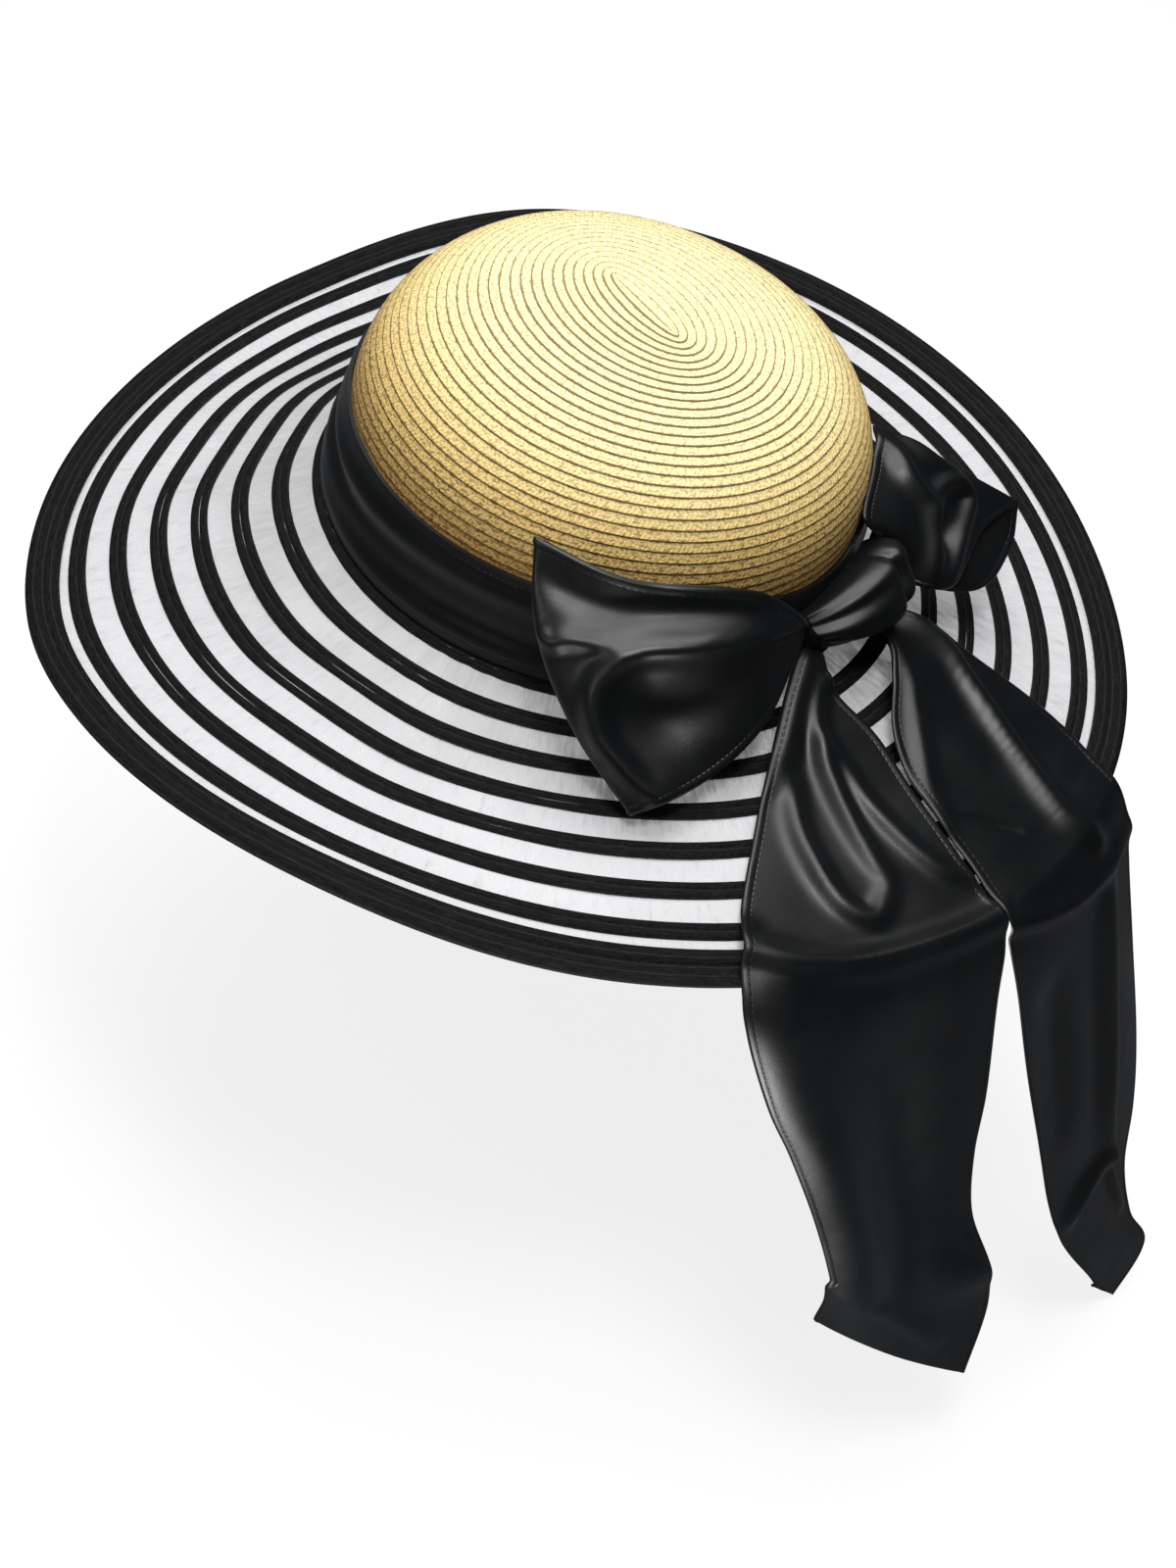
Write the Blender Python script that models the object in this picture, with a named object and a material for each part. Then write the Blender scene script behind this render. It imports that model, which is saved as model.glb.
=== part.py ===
"""Wide-brim summer hat: a sewn straw crown, a sheer brim ringed with black braid, and a satin bow.

Metres, +Z up. The origin is the middle of the head opening, on the level of the crown's lower edge.
The opening is an oval that is longest along Y, and -Y is the side that the bow sits near.
A turn is an angle about Z in degrees, counted from +X towards +Y.
"""
import math

import bpy
from mathutils import Vector

# Clearance between pieces that touch on the real hat, and where a piece lies on the waving cloth
FIT_GAP = 0.0003
WAVE_GAP = 0.0005

# Crown
HEAD_LENGTH = 0.197
HEAD_WIDTH = 0.1735
STRAW_WALL = 0.0025
CROWN_HEIGHT = 0.093
SHOULDER_HEIGHT = 0.032
CROWN_LEAN = 0.0095
LEAN_TURN = -40
DOME_ROUNDNESS = 2.45

# Brim, with its width measured along the cloth from the crown to the outer edge
BRIM_WIDTH = 0.1195
BRIM_RISE = 0.0037
SHEER_WALL = 0.001
BRAID_COUNT = 7
BRAID_WIDTH = 0.0068
BRAID_WALL = 0.0012
FIRST_BRAID_OFFSET = 0.0025
EDGE_WIDTH = 0.0124
EDGE_WALL = 0.0012
EDGE_SPACE = 0.0033

# Each section of the brim is one arc, from the root slope at the crown to the rim slope where the
# edge band starts. The band has a slope of its own.
BRIM_SECTIONS = (
    # turn, root slope, rim slope, band slope, all in degrees
    (0, -37, 7, 10),
    (30, -36, 12, 12),
    (60, -35, 11, 12),
    (90, -42, -2, 10),
    (120, -39, -12, 1),
    (150, -23, -22, -5),
    (180, -23, 0, 3),
    (210, -16, 6, 0),
    (240, -9, -7, -24),
    (270, -11, -18, -20),
    (300, -16, -19, -14),
    (330, -30, -8, -1),
)
STRAIGHT_BEND = 1e-6

# Soft creases that run outwards across the sheer cloth
CREASE_HEIGHT = 0.0026
BRIM_CREASES = (
    # turn, spread in degrees, share of the height, share of the brim's width where it starts and ends
    (117, 16, 0.9, 0.02, 0.85),
    (135, 16, -0.9, 0.02, 0.85),
    (195, 17, 1.0, 0.10, 0.90),
)

# Satin sash round the crown
SASH_HEIGHT = 0.040
SATIN_WALL = 0.0013
SASH_FLARE = 0.0042
SASH_ROWS = (
    # share of the height, share of the flare
    (0.00, 1.00),
    (0.33, 0.66),
    (0.70, 0.24),
    (1.00, 0.00),
)
SASH_DIP = 0.006
SASH_DIP_SPREAD = 20

# Bow, tied in the sash's own ribbon
KNOT_TURN = -71
KNOT_SPAN = 12.5
KNOT_HEIGHT = 0.0265
KNOT_RISE = 0.003
KNOT_DEPTH = 0.026
KNOT_THICKNESS = 0.026
KNOT_TAPER = 0.6
KNOT_PLEAT = 0.0009
KNOT_PLEATS = 3
KNOT_ROOT_SPREAD = (0.75, 0.25, -0.25, -0.75)

# Each loop is a folded ribbon that starts at the knot's end. Its rows run from there to the fold, and
# each row crosses the ribbon. A place is a turn in degrees, a share of the brim's width out and a share
# of the crown's height up.
LOOP_OPENING = 0.013
LOOP_ROOT_GAP = 0.0007
LOOP_ROOT_SPACE = 0.0038
LOOP_SPREAD = (0.25, 1.0, 0.8, 0.55)
LOOP_TILT = 37
LOOP_EASE = 1.5
LEFT_LOOP = (
    # upper edge, ridge, hollow, lower edge
    ((-98.5, 0.09, 0.57), (-105.0, 0.23, 0.46), (-103.0, 0.23, 0.28), (-100.0, 0.30, 0.17)),
    ((-122.5, 0.09, 0.65), (-122.0, 0.27, 0.49), (-116.0, 0.31, 0.25), (-110.0, 0.43, 0.10)),
    ((-141.0, 0.07, 0.73), (-137.0, 0.22, 0.48), (-129.0, 0.38, 0.23), (-120.0, 0.53, 0.04)),
)
RIGHT_LOOP = (
    # upper edge, ridge, hollow, lower edge
    ((-52.0, 0.11, 0.50), (-52.5, 0.20, 0.41), (-52.5, 0.26, 0.27), (-52.5, 0.32, 0.16)),
    ((-43.5, 0.12, 0.55), (-43.5, 0.25, 0.42), (-43.5, 0.34, 0.24), (-45.5, 0.46, 0.10)),
    ((-33.0, 0.13, 0.56), (-31.0, 0.27, 0.40), (-30.5, 0.42, 0.24), (-34.0, 0.58, 0.10)),
)
LOOP_STEPS = 18
LOOP_LANES = 8

# Each tail is a flat ribbon that lies over the brim and hangs past its edge.
# Travel is 0 at the crown and 1 at the brim's edge, and each further 1 is the tail's drop.
# Lift and fold are shares of the sash's height and of the tail's fold.
TAIL_DROP = 0.200
TAIL_LEAN = 0.25
TAIL_ROLL = 0.006
TAIL_FOLD = 0.006
TAIL_REST = 0.0007
LEFT_TAIL = (
    # travel, left edge's turn, right edge's turn, extra travel at the right, lift, fold
    (0.17, -86.5, -79.5, 0.00, 0.38, 0.10),
    (0.30, -95.5, -82.0, 0.00, 0.24, 0.50),
    (0.50, -103.5, -84.5, 0.00, 0.11, 1.00),
    (0.75, -109.0, -85.5, 0.00, 0.02, 0.80),
    (0.89, -110.6, -85.2, 0.00, 0.01, 0.40),
    (1.00, -111.4, -84.8, 0.00, 0.00, 0.00),
    (1.03, -111.2, -84.6, 0.00, 0.00, 0.00),
    (1.12, -110.0, -84.4, 0.00, 0.00, 0.20),
    (1.30, -106.5, -84.8, 0.00, 0.00, 0.40),
    (1.45, -103.6, -86.4, 0.00, 0.00, 0.50),
    (1.60, -101.4, -85.2, 0.12, 0.00, 0.60),
    (1.65, -101.0, -83.8, 0.18, 0.00, 0.60),
    (1.70, -101.0, -86.0, 0.26, 0.00, 0.60),
)
RIGHT_TAIL = (
    # travel, left edge's turn, right edge's turn, extra travel at the right, lift, fold
    (0.24, -66.0, -57.5, 0.00, 0.36, 0.10),
    (0.40, -76.0, -56.0, 0.00, 0.21, 0.50),
    (0.60, -81.0, -55.6, 0.00, 0.08, 1.00),
    (0.76, -82.8, -56.0, 0.00, 0.02, 0.80),
    (0.89, -83.5, -57.4, 0.00, 0.01, 0.40),
    (1.00, -83.6, -59.0, 0.00, 0.00, 0.00),
    (1.03, -83.4, -58.7, 0.00, 0.00, 0.00),
    (1.12, -82.4, -58.2, 0.00, 0.00, 0.20),
    (1.30, -79.8, -57.4, 0.00, 0.00, 0.50),
    (1.50, -77.5, -56.2, 0.00, 0.00, 0.70),
    (1.74, -75.0, -55.0, 0.00, 0.00, 0.90),
    (1.92, -71.5, -60.0, 0.00, 0.00, 0.60),
    (2.12, -66.6, -56.0, 0.12, 0.00, 0.30),
)
TAIL_LANES = 8

# Facets
SHARP_ANGLE = 40
AROUND = 56
CROWN_ROWS = 10
KNOT_SIDES = 14
KNOT_RINGS = 9

PLAN_HALF_LENGTH = (HEAD_LENGTH - HEAD_WIDTH) / 2
CROWN_REACH = HEAD_WIDTH / 2 + STRAW_WALL
BRIM_ROOT_REACH = CROWN_REACH + FIT_GAP
CROWN_FOOT = 2 * BRIM_RISE


def turns():
    """Angles of the sections that every ring of the hat shares."""
    return [2 * math.pi * i / AROUND for i in range(AROUND)]


def plan_point(turn, reach, height):
    """A point of the oval that lies `reach` outside the crown's centre line."""
    return Vector((reach * math.cos(turn), (PLAN_HALF_LENGTH + reach) * math.sin(turn), height))


def blend_round(rows, turn, column):
    """Smooth value of a table's column at a turn, with the rows taken as a closed ring."""
    count = len(rows)
    place = math.degrees(turn) % 360 / (360 / count)
    row = int(place) % count
    t = place - int(place)
    a, b, c, d = (rows[(row + k) % count][column] for k in (-1, 0, 1, 2))
    return b + 0.5 * t * (c - a + t * (2 * a - 5 * b + 4 * c - d + t * (3 * (b - c) + d - a)))


def crown_reach(height):
    """Distance of the crown's outer face from its centre line at a height."""
    share = min(max((height - SHOULDER_HEIGHT) / (CROWN_HEIGHT - SHOULDER_HEIGHT), 0), 1)
    return CROWN_REACH * (1 - share ** DOME_ROUNDNESS) ** (1 / DOME_ROUNDNESS)


def crown_point(turn, reach, height):
    """Like plan_point, on the crown's own centre line, which leans to one side as it rises."""
    lean = CROWN_LEAN * max(height - CROWN_FOOT, 0) / (CROWN_HEIGHT - CROWN_FOOT)
    side = math.radians(LEAN_TURN)
    return plan_point(turn, reach, height) + Vector((lean * math.cos(side), lean * math.sin(side), 0))


def crease_rise(turn, distance):
    """Height that the brim's creases add at a distance out along the cloth."""
    rise = 0
    for middle, spread, share, start, end in BRIM_CREASES:
        aside = ((math.degrees(turn) - middle + 180) % 360 - 180) / spread
        along = (distance / BRIM_WIDTH - start) / (end - start)
        if abs(aside) < 1 and 0 < along < 1:
            rise += CREASE_HEIGHT * share * math.cos(math.pi / 2 * aside) ** 2 * math.sin(math.pi * along)
    return rise


def brim_point(turn, distance):
    """Top of the sheer cloth at a distance out along it: an arc, then the band's straight slope."""
    root, rim, band = (math.radians(blend_round(BRIM_SECTIONS, turn, column)) for column in (1, 2, 3))
    arc_width = BRIM_WIDTH - EDGE_WIDTH
    on_arc = min(distance, arc_width)
    on_band = max(distance - arc_width, 0)
    bend = (rim - root) / arc_width
    if abs(bend) < STRAIGHT_BEND:
        out, rise = on_arc * math.cos(root), on_arc * math.sin(root)
    else:
        out = (math.sin(root + bend * on_arc) - math.sin(root)) / bend
        rise = (math.cos(root) - math.cos(root + bend * on_arc)) / bend
    out += on_band * math.cos(band)
    rise += on_band * math.sin(band) + crease_rise(turn, distance)
    return plan_point(turn, BRIM_ROOT_REACH + out, BRIM_RISE + rise)


def braid_pitch():
    """Spacing of the braids, so that the last one keeps its space from the edge band."""
    first = FIRST_BRAID_OFFSET + BRAID_WIDTH / 2
    last = BRIM_WIDTH - EDGE_WIDTH - EDGE_SPACE - BRAID_WIDTH / 2
    return (last - first) / (BRAID_COUNT - 1)


def cloth_stations():
    """Distances along the cloth where its facets meet: midway between the braids."""
    pitch = braid_pitch()
    first = FIRST_BRAID_OFFSET + BRAID_WIDTH / 2
    between = [first + pitch * (k + 0.5) for k in range(BRAID_COUNT - 1)]
    outer = BRIM_WIDTH - EDGE_WIDTH - EDGE_SPACE / 2
    return [0.0] + between + [outer, BRIM_WIDTH - EDGE_WALL - WAVE_GAP]


def cloth_frame(turn, distance, lift):
    """Point on the faceted cloth at a distance out, raised at right angles to its facet."""
    stations = cloth_stations()
    span = 0
    while span < len(stations) - 2 and distance > stations[span + 1]:
        span += 1
    near = brim_point(turn, stations[span])
    far = brim_point(turn, stations[span + 1])
    share = (distance - stations[span]) / (stations[span + 1] - stations[span])
    along = (far - near).normalized()
    side = Vector((-math.sin(turn), math.cos(turn), 0))
    return near.lerp(far, share) + lift * along.cross(side).normalized()


def material(name, color, roughness, metallic=0.0):
    """Plain material of one finish."""
    made = bpy.data.materials.new(name)
    made.use_nodes = True
    shader = made.node_tree.nodes["Principled BSDF"]
    shader.inputs["Base Color"].default_value = (*color, 1)
    shader.inputs["Roughness"].default_value = roughness
    shader.inputs["Metallic"].default_value = metallic
    made.diffuse_color = (*color, 1)
    return made


def add_object(name, points, faces, finish):
    """Mesh object from points and faces, smooth apart from its sharp edges."""
    mesh = bpy.data.meshes.new(name)
    mesh.from_pydata([tuple(p) for p in points], [], faces)
    mesh.materials.append(finish)
    mesh.validate()
    mesh.shade_smooth()
    mesh.set_sharp_from_angle(angle=math.radians(SHARP_ANGLE))
    made = bpy.data.objects.new(name, mesh)
    bpy.context.collection.objects.link(made)
    return made


def add_ring(name, section, finish):
    """Closed ring whose cross-section at each turn is the list of points section(turn)."""
    loops = [section(turn) for turn in turns()]
    size = len(loops[0])
    points = [p for loop in loops for p in loop]
    faces = []
    for i in range(AROUND):
        j = (i + 1) % AROUND
        for k in range(size):
            m = (k + 1) % size
            faces.append((i * size + k, i * size + m, j * size + m, j * size + k))
    return add_object(name, points, faces, finish)


def make_crown(finish):
    """Domed shell of sewn straw braid, open below, whose rows start from a short line on top."""
    dome_steps = [math.sin(math.pi / 2 * row / (CROWN_ROWS - 1)) for row in range(CROWN_ROWS - 1)]
    heights = [0] + [CROWN_FOOT + (CROWN_HEIGHT - CROWN_FOOT) * step for step in dome_steps]
    points = [crown_point(turn, crown_reach(h), h) for h in heights for turn in turns()]
    faces = []
    for row in range(CROWN_ROWS - 1):
        for i in range(AROUND):
            j = (i + 1) % AROUND
            low, high = row * AROUND, (row + 1) * AROUND
            faces.append((low + i, low + j, high + j, high + i))
    half = AROUND // 2
    quarter = AROUND // 4
    start = len(points)
    ridge = [turns()[k] - math.pi / 2 for k in range(half + 1)]
    points += [crown_point(turn, 0, CROWN_HEIGHT) for turn in ridge]

    def ridge_index(i):
        """Ridge point above section i: sections mirrored in the YZ plane share one."""
        step = (i + quarter) % AROUND
        return start + (step if step <= half else AROUND - step)

    top = (CROWN_ROWS - 1) * AROUND
    for i in range(AROUND):
        j = (i + 1) % AROUND
        faces.append((top + i, top + j, ridge_index(j), ridge_index(i)))
    crown = add_object("crown", points, faces, finish)
    wall = crown.modifiers.new("straw wall", "SOLIDIFY")
    wall.thickness = STRAW_WALL
    wall.offset = -1
    return crown


def make_brim_cloth(finish):
    """Continuous sheer sheet from the crown out to the edge band."""
    stations = cloth_stations()

    def section(turn):
        top = [cloth_frame(turn, s, 0) for s in stations]
        under = [cloth_frame(turn, s, -SHEER_WALL) for s in stations[1:]]
        root_under = top[0] - Vector((0, 0, SHEER_WALL))
        return top + under[::-1] + [root_under]

    return add_ring("brim_cloth", section, finish)


def make_brim_braid(number, finish):
    """Flat ring of black braid on top of the cloth, counted from the crown outwards."""
    middle = FIRST_BRAID_OFFSET + BRAID_WIDTH / 2 + braid_pitch() * (number - 1)
    inner, outer = middle - BRAID_WIDTH / 2, middle + BRAID_WIDTH / 2
    low, high = WAVE_GAP, WAVE_GAP + BRAID_WALL

    def section(turn):
        corners = ((inner, low), (inner, high), (outer, high), (outer, low))
        return [cloth_frame(turn, s, lift) for s, lift in corners]

    return add_ring(f"brim_braid_{number}", section, finish)


def make_brim_edge(finish):
    """Wide black band folded over the outer edge of the cloth."""
    inner, outer = BRIM_WIDTH - EDGE_WIDTH, BRIM_WIDTH
    fold = BRIM_WIDTH - EDGE_WALL
    top, bottom = WAVE_GAP, -SHEER_WALL - WAVE_GAP

    def section(turn):
        corners = (
            (inner, top), (inner, top + EDGE_WALL), (outer, top + EDGE_WALL),
            (outer, bottom - EDGE_WALL), (inner, bottom - EDGE_WALL), (inner, bottom),
            (fold, bottom), (fold, top),
        )
        return [cloth_frame(turn, s, lift) for s, lift in corners]

    return add_ring("brim_edge", section, finish)


def sash_reach(height, turn):
    """Distance of the sash's outer face from the crown's centre line at a height."""
    foot = sash_foot(turn)
    share = min(max((height - foot) / (sash_top(turn) - foot), 0), 1)
    row = 0
    while row < len(SASH_ROWS) - 2 and share > SASH_ROWS[row + 1][0]:
        row += 1
    (low, wide), (high, narrow) = SASH_ROWS[row], SASH_ROWS[row + 1]
    flare = wide + (narrow - wide) * (share - low) / (high - low)
    return crown_reach(height) + FIT_GAP + SASH_FLARE * flare + SATIN_WALL


def sash_top(turn):
    """Height of the sash's upper edge, which is drawn down where the ribbon gathers into the knot."""
    aside = ((math.degrees(turn) - KNOT_TURN + 180) % 360 - 180) / SASH_DIP_SPREAD
    return SASH_HEIGHT - SASH_DIP * math.exp(-aside ** 2)


def sash_foot(turn):
    """Height of the sash's lower edge, clear of the braid that lies under it."""
    return cloth_frame(turn, SASH_FLARE, WAVE_GAP + BRAID_WALL + 2 * FIT_GAP).z


def make_sash(finish):
    """Satin band round the foot of the crown, flared where it meets the brim."""
    def section(turn):
        foot = sash_foot(turn)
        inner = []
        for height_share, flare_share in SASH_ROWS:
            height = foot + (sash_top(turn) - foot) * height_share
            inner.append((crown_reach(height) + FIT_GAP + SASH_FLARE * flare_share, height))
        outer = [(reach + SATIN_WALL, height) for reach, height in inner]
        return [crown_point(turn, reach, height) for reach, height in inner + outer[::-1]]

    return add_ring("sash", section, finish)


def knot_section(place):
    """Turn, height, share of the full girth and back of the knot at a place from -1 to 1 along it."""
    turn = math.radians(KNOT_TURN + KNOT_SPAN * place)
    middle = KNOT_HEIGHT + KNOT_RISE * place
    girth = (1 - KNOT_TAPER * place ** 2) ** 0.5
    return turn, middle, girth, sash_reach(middle, turn) + 2 * FIT_GAP


def make_knot(finish):
    """Wound lump of ribbon, widest in the middle, whose back follows the sash behind it."""
    points = []
    for ring in range(KNOT_RINGS):
        turn, middle, girth, back = knot_section(2 * ring / (KNOT_RINGS - 1) - 1)
        for side in range(KNOT_SIDES):
            angle = 2 * math.pi * side / KNOT_SIDES
            pleat = KNOT_PLEAT * math.cos(KNOT_PLEATS * angle)
            height = middle + (KNOT_THICKNESS / 2 * girth + pleat) * math.sin(angle)
            reach = back + (KNOT_DEPTH / 2 * girth + pleat) * (1 + math.cos(angle))
            points.append(crown_point(turn, max(reach, sash_reach(height, turn) + 2 * FIT_GAP), height))
    last = (KNOT_RINGS - 1) * KNOT_SIDES
    faces = [tuple(range(KNOT_SIDES)), tuple(last + k for k in reversed(range(KNOT_SIDES)))]
    for ring in range(KNOT_RINGS - 1):
        for k in range(KNOT_SIDES):
            m = (k + 1) % KNOT_SIDES
            a, b = ring * KNOT_SIDES, (ring + 1) * KNOT_SIDES
            faces.append((a + k, b + k, b + m, a + m))
    return add_object("bow_knot", points, faces, finish)


def knot_root(side):
    """Places from top to bottom where a loop leaves the knot, at its left end (-1) or right end (1)."""
    turn, middle, girth, back = knot_section(side)
    reach = back + KNOT_DEPTH / 2 * girth
    turn += side * LOOP_ROOT_GAP / reach
    half = KNOT_THICKNESS / 2 * girth
    return [crown_point(turn, reach, middle + half * share) for share in KNOT_ROOT_SPREAD]


def smooth_between(places, share):
    """Vector on the smooth curve through evenly spaced places, at a share of its length."""
    last = len(places) - 1
    row = min(int(share * last), last - 1)
    t = share * last - row
    b, c = places[row], places[row + 1]
    a = places[row - 1] if row > 0 else b + b - c
    d = places[row + 2] if row + 2 <= last else c + c - b
    return b + 0.5 * t * (c - a + t * (2 * a - 5 * b + 4 * c - d + t * (3 * (b - c) + d - a)))


def add_ribbon(name, rows, finish):
    """Ribbon of satin from a grid of points, with its thickness on both sides of the grid."""
    lanes = len(rows[0])
    points = [p for row in rows for p in row]
    faces = []
    for i in range(len(rows) - 1):
        for k in range(lanes - 1):
            a, b = i * lanes + k, (i + 1) * lanes + k
            faces.append((a, b, b + 1, a + 1))
    ribbon = add_object(name, points, faces, finish)
    wall = ribbon.modifiers.new("satin wall", "SOLIDIFY")
    wall.thickness = SATIN_WALL
    wall.offset = 0
    return ribbon


def bow_place(place):
    """Point of a loop from its turn, share of the brim's width out and share of the crown's height up."""
    turn, out, up = place
    return plan_point(math.radians(turn), CROWN_REACH + out * BRIM_WIDTH, up * CROWN_HEIGHT)


def make_loop(name, side, table, finish):
    """Ribbon that runs out from the knot, folds over and comes back behind itself."""
    lines = [
        [root] + [bow_place(row[column]) for row in table]
        for column, root in enumerate(knot_root(side))
    ]
    rows = []
    for step in range(LOOP_STEPS + 1):
        t = step / LOOP_STEPS
        share = math.sin(math.pi * t) ** LOOP_EASE
        apart = LOOP_ROOT_SPACE / 2 * math.cos(math.pi * t)
        crossing = [smooth_between(line, share) for line in lines]
        row = []
        for lane in range(LOOP_LANES + 1):
            across = lane / LOOP_LANES
            spread = smooth_between([Vector((s, 0, 0)) for s in LOOP_SPREAD], across).x
            middle = smooth_between(crossing, across)
            facing = Vector((middle.x, middle.y, 0)).normalized() * math.cos(math.radians(LOOP_TILT))
            facing.z = math.sin(math.radians(LOOP_TILT))
            open_by = LOOP_OPENING / 2 * spread * math.sin(2 * math.pi * t) * (1 + share)
            row.append(middle + facing * (open_by + apart))
        rows.append(row)
    return add_ribbon(name, rows, finish)


def drape_point(turn, travel, lift):
    """Point of a tail: over the brim up to travel 1, then down past the edge with a slight lean."""
    rest = WAVE_GAP + EDGE_WALL + TAIL_REST + SATIN_WALL / 2 + lift
    if travel <= 1:
        return cloth_frame(turn, travel * BRIM_WIDTH, rest)
    drop = (travel - 1) * TAIL_DROP
    out = TAIL_ROLL * (1 - math.exp(-drop / TAIL_ROLL)) + TAIL_LEAN * drop
    away = Vector((math.cos(turn), math.sin(turn), 0))
    return cloth_frame(turn, BRIM_WIDTH, rest) + away * out - Vector((0, 0, drop))


def make_tail(name, table, folds, finish):
    """Long ribbon end, pleated where it leaves the knot and flatter where it hangs."""
    rows = []
    for travel, left, right, extra, lift, fold in table:
        row = []
        for lane in range(TAIL_LANES + 1):
            across = lane / TAIL_LANES
            pleat = TAIL_FOLD * fold * (1 - math.cos(2 * math.pi * folds * across)) / 2
            turn = math.radians(left + (right - left) * across)
            point = drape_point(turn, travel + extra * across, lift * SASH_HEIGHT)
            facing = Vector((0, 0, 1)) if travel <= 1 else Vector((math.cos(turn), math.sin(turn), 0))
            row.append(point + facing * pleat)
        rows.append(row)
    return add_ribbon(name, rows, finish)


def main():
    """Clear the scene and make every piece of the hat."""
    for old in list(bpy.data.objects):
        bpy.data.objects.remove(old, do_unlink=True)
    straw = material("golden straw", (0.78, 0.58, 0.25), 0.7)
    sheer = material("sheer cloth", (0.80, 0.79, 0.84), 0.4)
    braid = material("black braid", (0.02, 0.02, 0.022), 0.75)
    satin = material("black satin", (0.015, 0.017, 0.02), 0.3)
    make_crown(straw)
    make_brim_cloth(sheer)
    for number in range(1, BRAID_COUNT + 1):
        make_brim_braid(number, braid)
    make_brim_edge(braid)
    make_sash(satin)
    make_knot(satin)
    make_loop("bow_loop_left", -1, LEFT_LOOP, satin)
    make_loop("bow_loop_right", 1, RIGHT_LOOP, satin)
    make_tail("tail_left", LEFT_TAIL, 2, satin)
    make_tail("tail_right", RIGHT_TAIL, 2, satin)


if __name__ == "__main__":
    main()
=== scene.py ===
import math

import bpy
import numpy as np
from bpy.props import FloatProperty, FloatVectorProperty, IntProperty, PointerProperty
from mathutils import Matrix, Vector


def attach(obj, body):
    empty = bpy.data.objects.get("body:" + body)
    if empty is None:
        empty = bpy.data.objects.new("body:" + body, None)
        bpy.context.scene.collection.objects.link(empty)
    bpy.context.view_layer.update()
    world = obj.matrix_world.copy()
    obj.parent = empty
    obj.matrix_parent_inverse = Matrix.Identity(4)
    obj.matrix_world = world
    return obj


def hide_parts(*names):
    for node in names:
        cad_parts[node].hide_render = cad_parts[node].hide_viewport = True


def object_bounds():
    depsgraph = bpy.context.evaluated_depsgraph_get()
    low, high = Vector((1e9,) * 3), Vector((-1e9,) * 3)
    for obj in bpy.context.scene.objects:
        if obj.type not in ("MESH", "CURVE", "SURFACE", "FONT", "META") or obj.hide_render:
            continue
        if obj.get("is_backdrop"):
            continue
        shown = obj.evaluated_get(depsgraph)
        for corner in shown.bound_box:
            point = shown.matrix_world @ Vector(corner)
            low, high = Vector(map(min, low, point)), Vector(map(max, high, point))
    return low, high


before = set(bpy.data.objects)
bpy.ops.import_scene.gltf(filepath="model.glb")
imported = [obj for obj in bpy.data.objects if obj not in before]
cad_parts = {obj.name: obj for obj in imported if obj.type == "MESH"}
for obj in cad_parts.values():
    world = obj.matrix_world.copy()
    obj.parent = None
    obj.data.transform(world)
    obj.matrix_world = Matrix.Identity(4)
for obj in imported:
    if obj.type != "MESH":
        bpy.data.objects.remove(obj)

bl_info = {
    "name": "Wide Brim Summer Hat",
    "version": (1, 0, 0),
    "blender": (4, 5, 0),
    "location": "3D View > Sidebar > Summer Hat",
    "description": "Sewn straw crown, sheer brim ringed with braid, and a satin sash tied in a bow",
    "category": "Object",
}

# The hat's own shape, in metres and degrees. A turn is an angle about Z, from +X towards +Y.
HEAD_LENGTH = 0.197
HEAD_WIDTH = 0.1735
STRAW_WALL = 0.0025
CROWN_HEIGHT = 0.093
SHOULDER_HEIGHT = 0.032
CROWN_LEAN = 0.0095
LEAN_TURN = -40
DOME_ROUNDNESS = 2.45
ROW_LINE_LENGTH = 0.033
BRIM_WIDTH = 0.1195
BRIM_RISE = 0.0037
BRAID_COUNT = 7
BRAID_WIDTH = 0.0068
FIRST_BRAID_OFFSET = 0.0025
EDGE_WIDTH = 0.0124
EDGE_SPACE = 0.0033
BRIM_SECTIONS = (
    # turn, root slope, rim slope, band slope
    (0, -37, 7, 10),
    (30, -36, 12, 12),
    (60, -35, 11, 12),
    (90, -42, -2, 10),
    (120, -39, -12, 1),
    (150, -23, -22, -5),
    (180, -23, 0, 3),
    (210, -16, 6, 0),
    (240, -9, -7, -24),
    (270, -11, -18, -20),
    (300, -16, -19, -14),
    (330, -30, -8, -1),
)
CREASE_HEIGHT = 0.0026
BRIM_CREASES = (
    # turn, spread in degrees, share of the height, share of the brim's width where it starts and ends
    (117, 16, 0.9, 0.02, 0.85),
    (135, 16, -0.9, 0.02, 0.85),
    (195, 17, 1.0, 0.10, 0.90),
)
SASH_HEIGHT = 0.040
SASH_FLARE = 0.0042
SASH_DIP = 0.006
SASH_DIP_SPREAD = 20
KNOT_TURN = -71
KNOT_SPAN = 12.5
KNOT_HEIGHT = 0.0265
KNOT_RISE = 0.003
KNOT_DEPTH = 0.026
KNOT_THICKNESS = 0.026
KNOT_TAPER = 0.6
KNOT_NARROWING = 0.34
KNOT_FULLNESS = 0.22
KNOT_ROOT_SPREAD = (0.75, 0.25, -0.25, -0.75)
KNOT_ROOT_FAN = {-1: 0.0, 1: 0.75}
LOOP_OPENING = 0.013
LOOP_ROOT_GAP = 0.0007
LOOP_ROOT_SPACE = 0.0038
LOOP_SPREAD = (0.25, 0.6, 0.7, 0.55)
LOOP_TILT = 37
LOOP_EASE = 1.5
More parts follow.
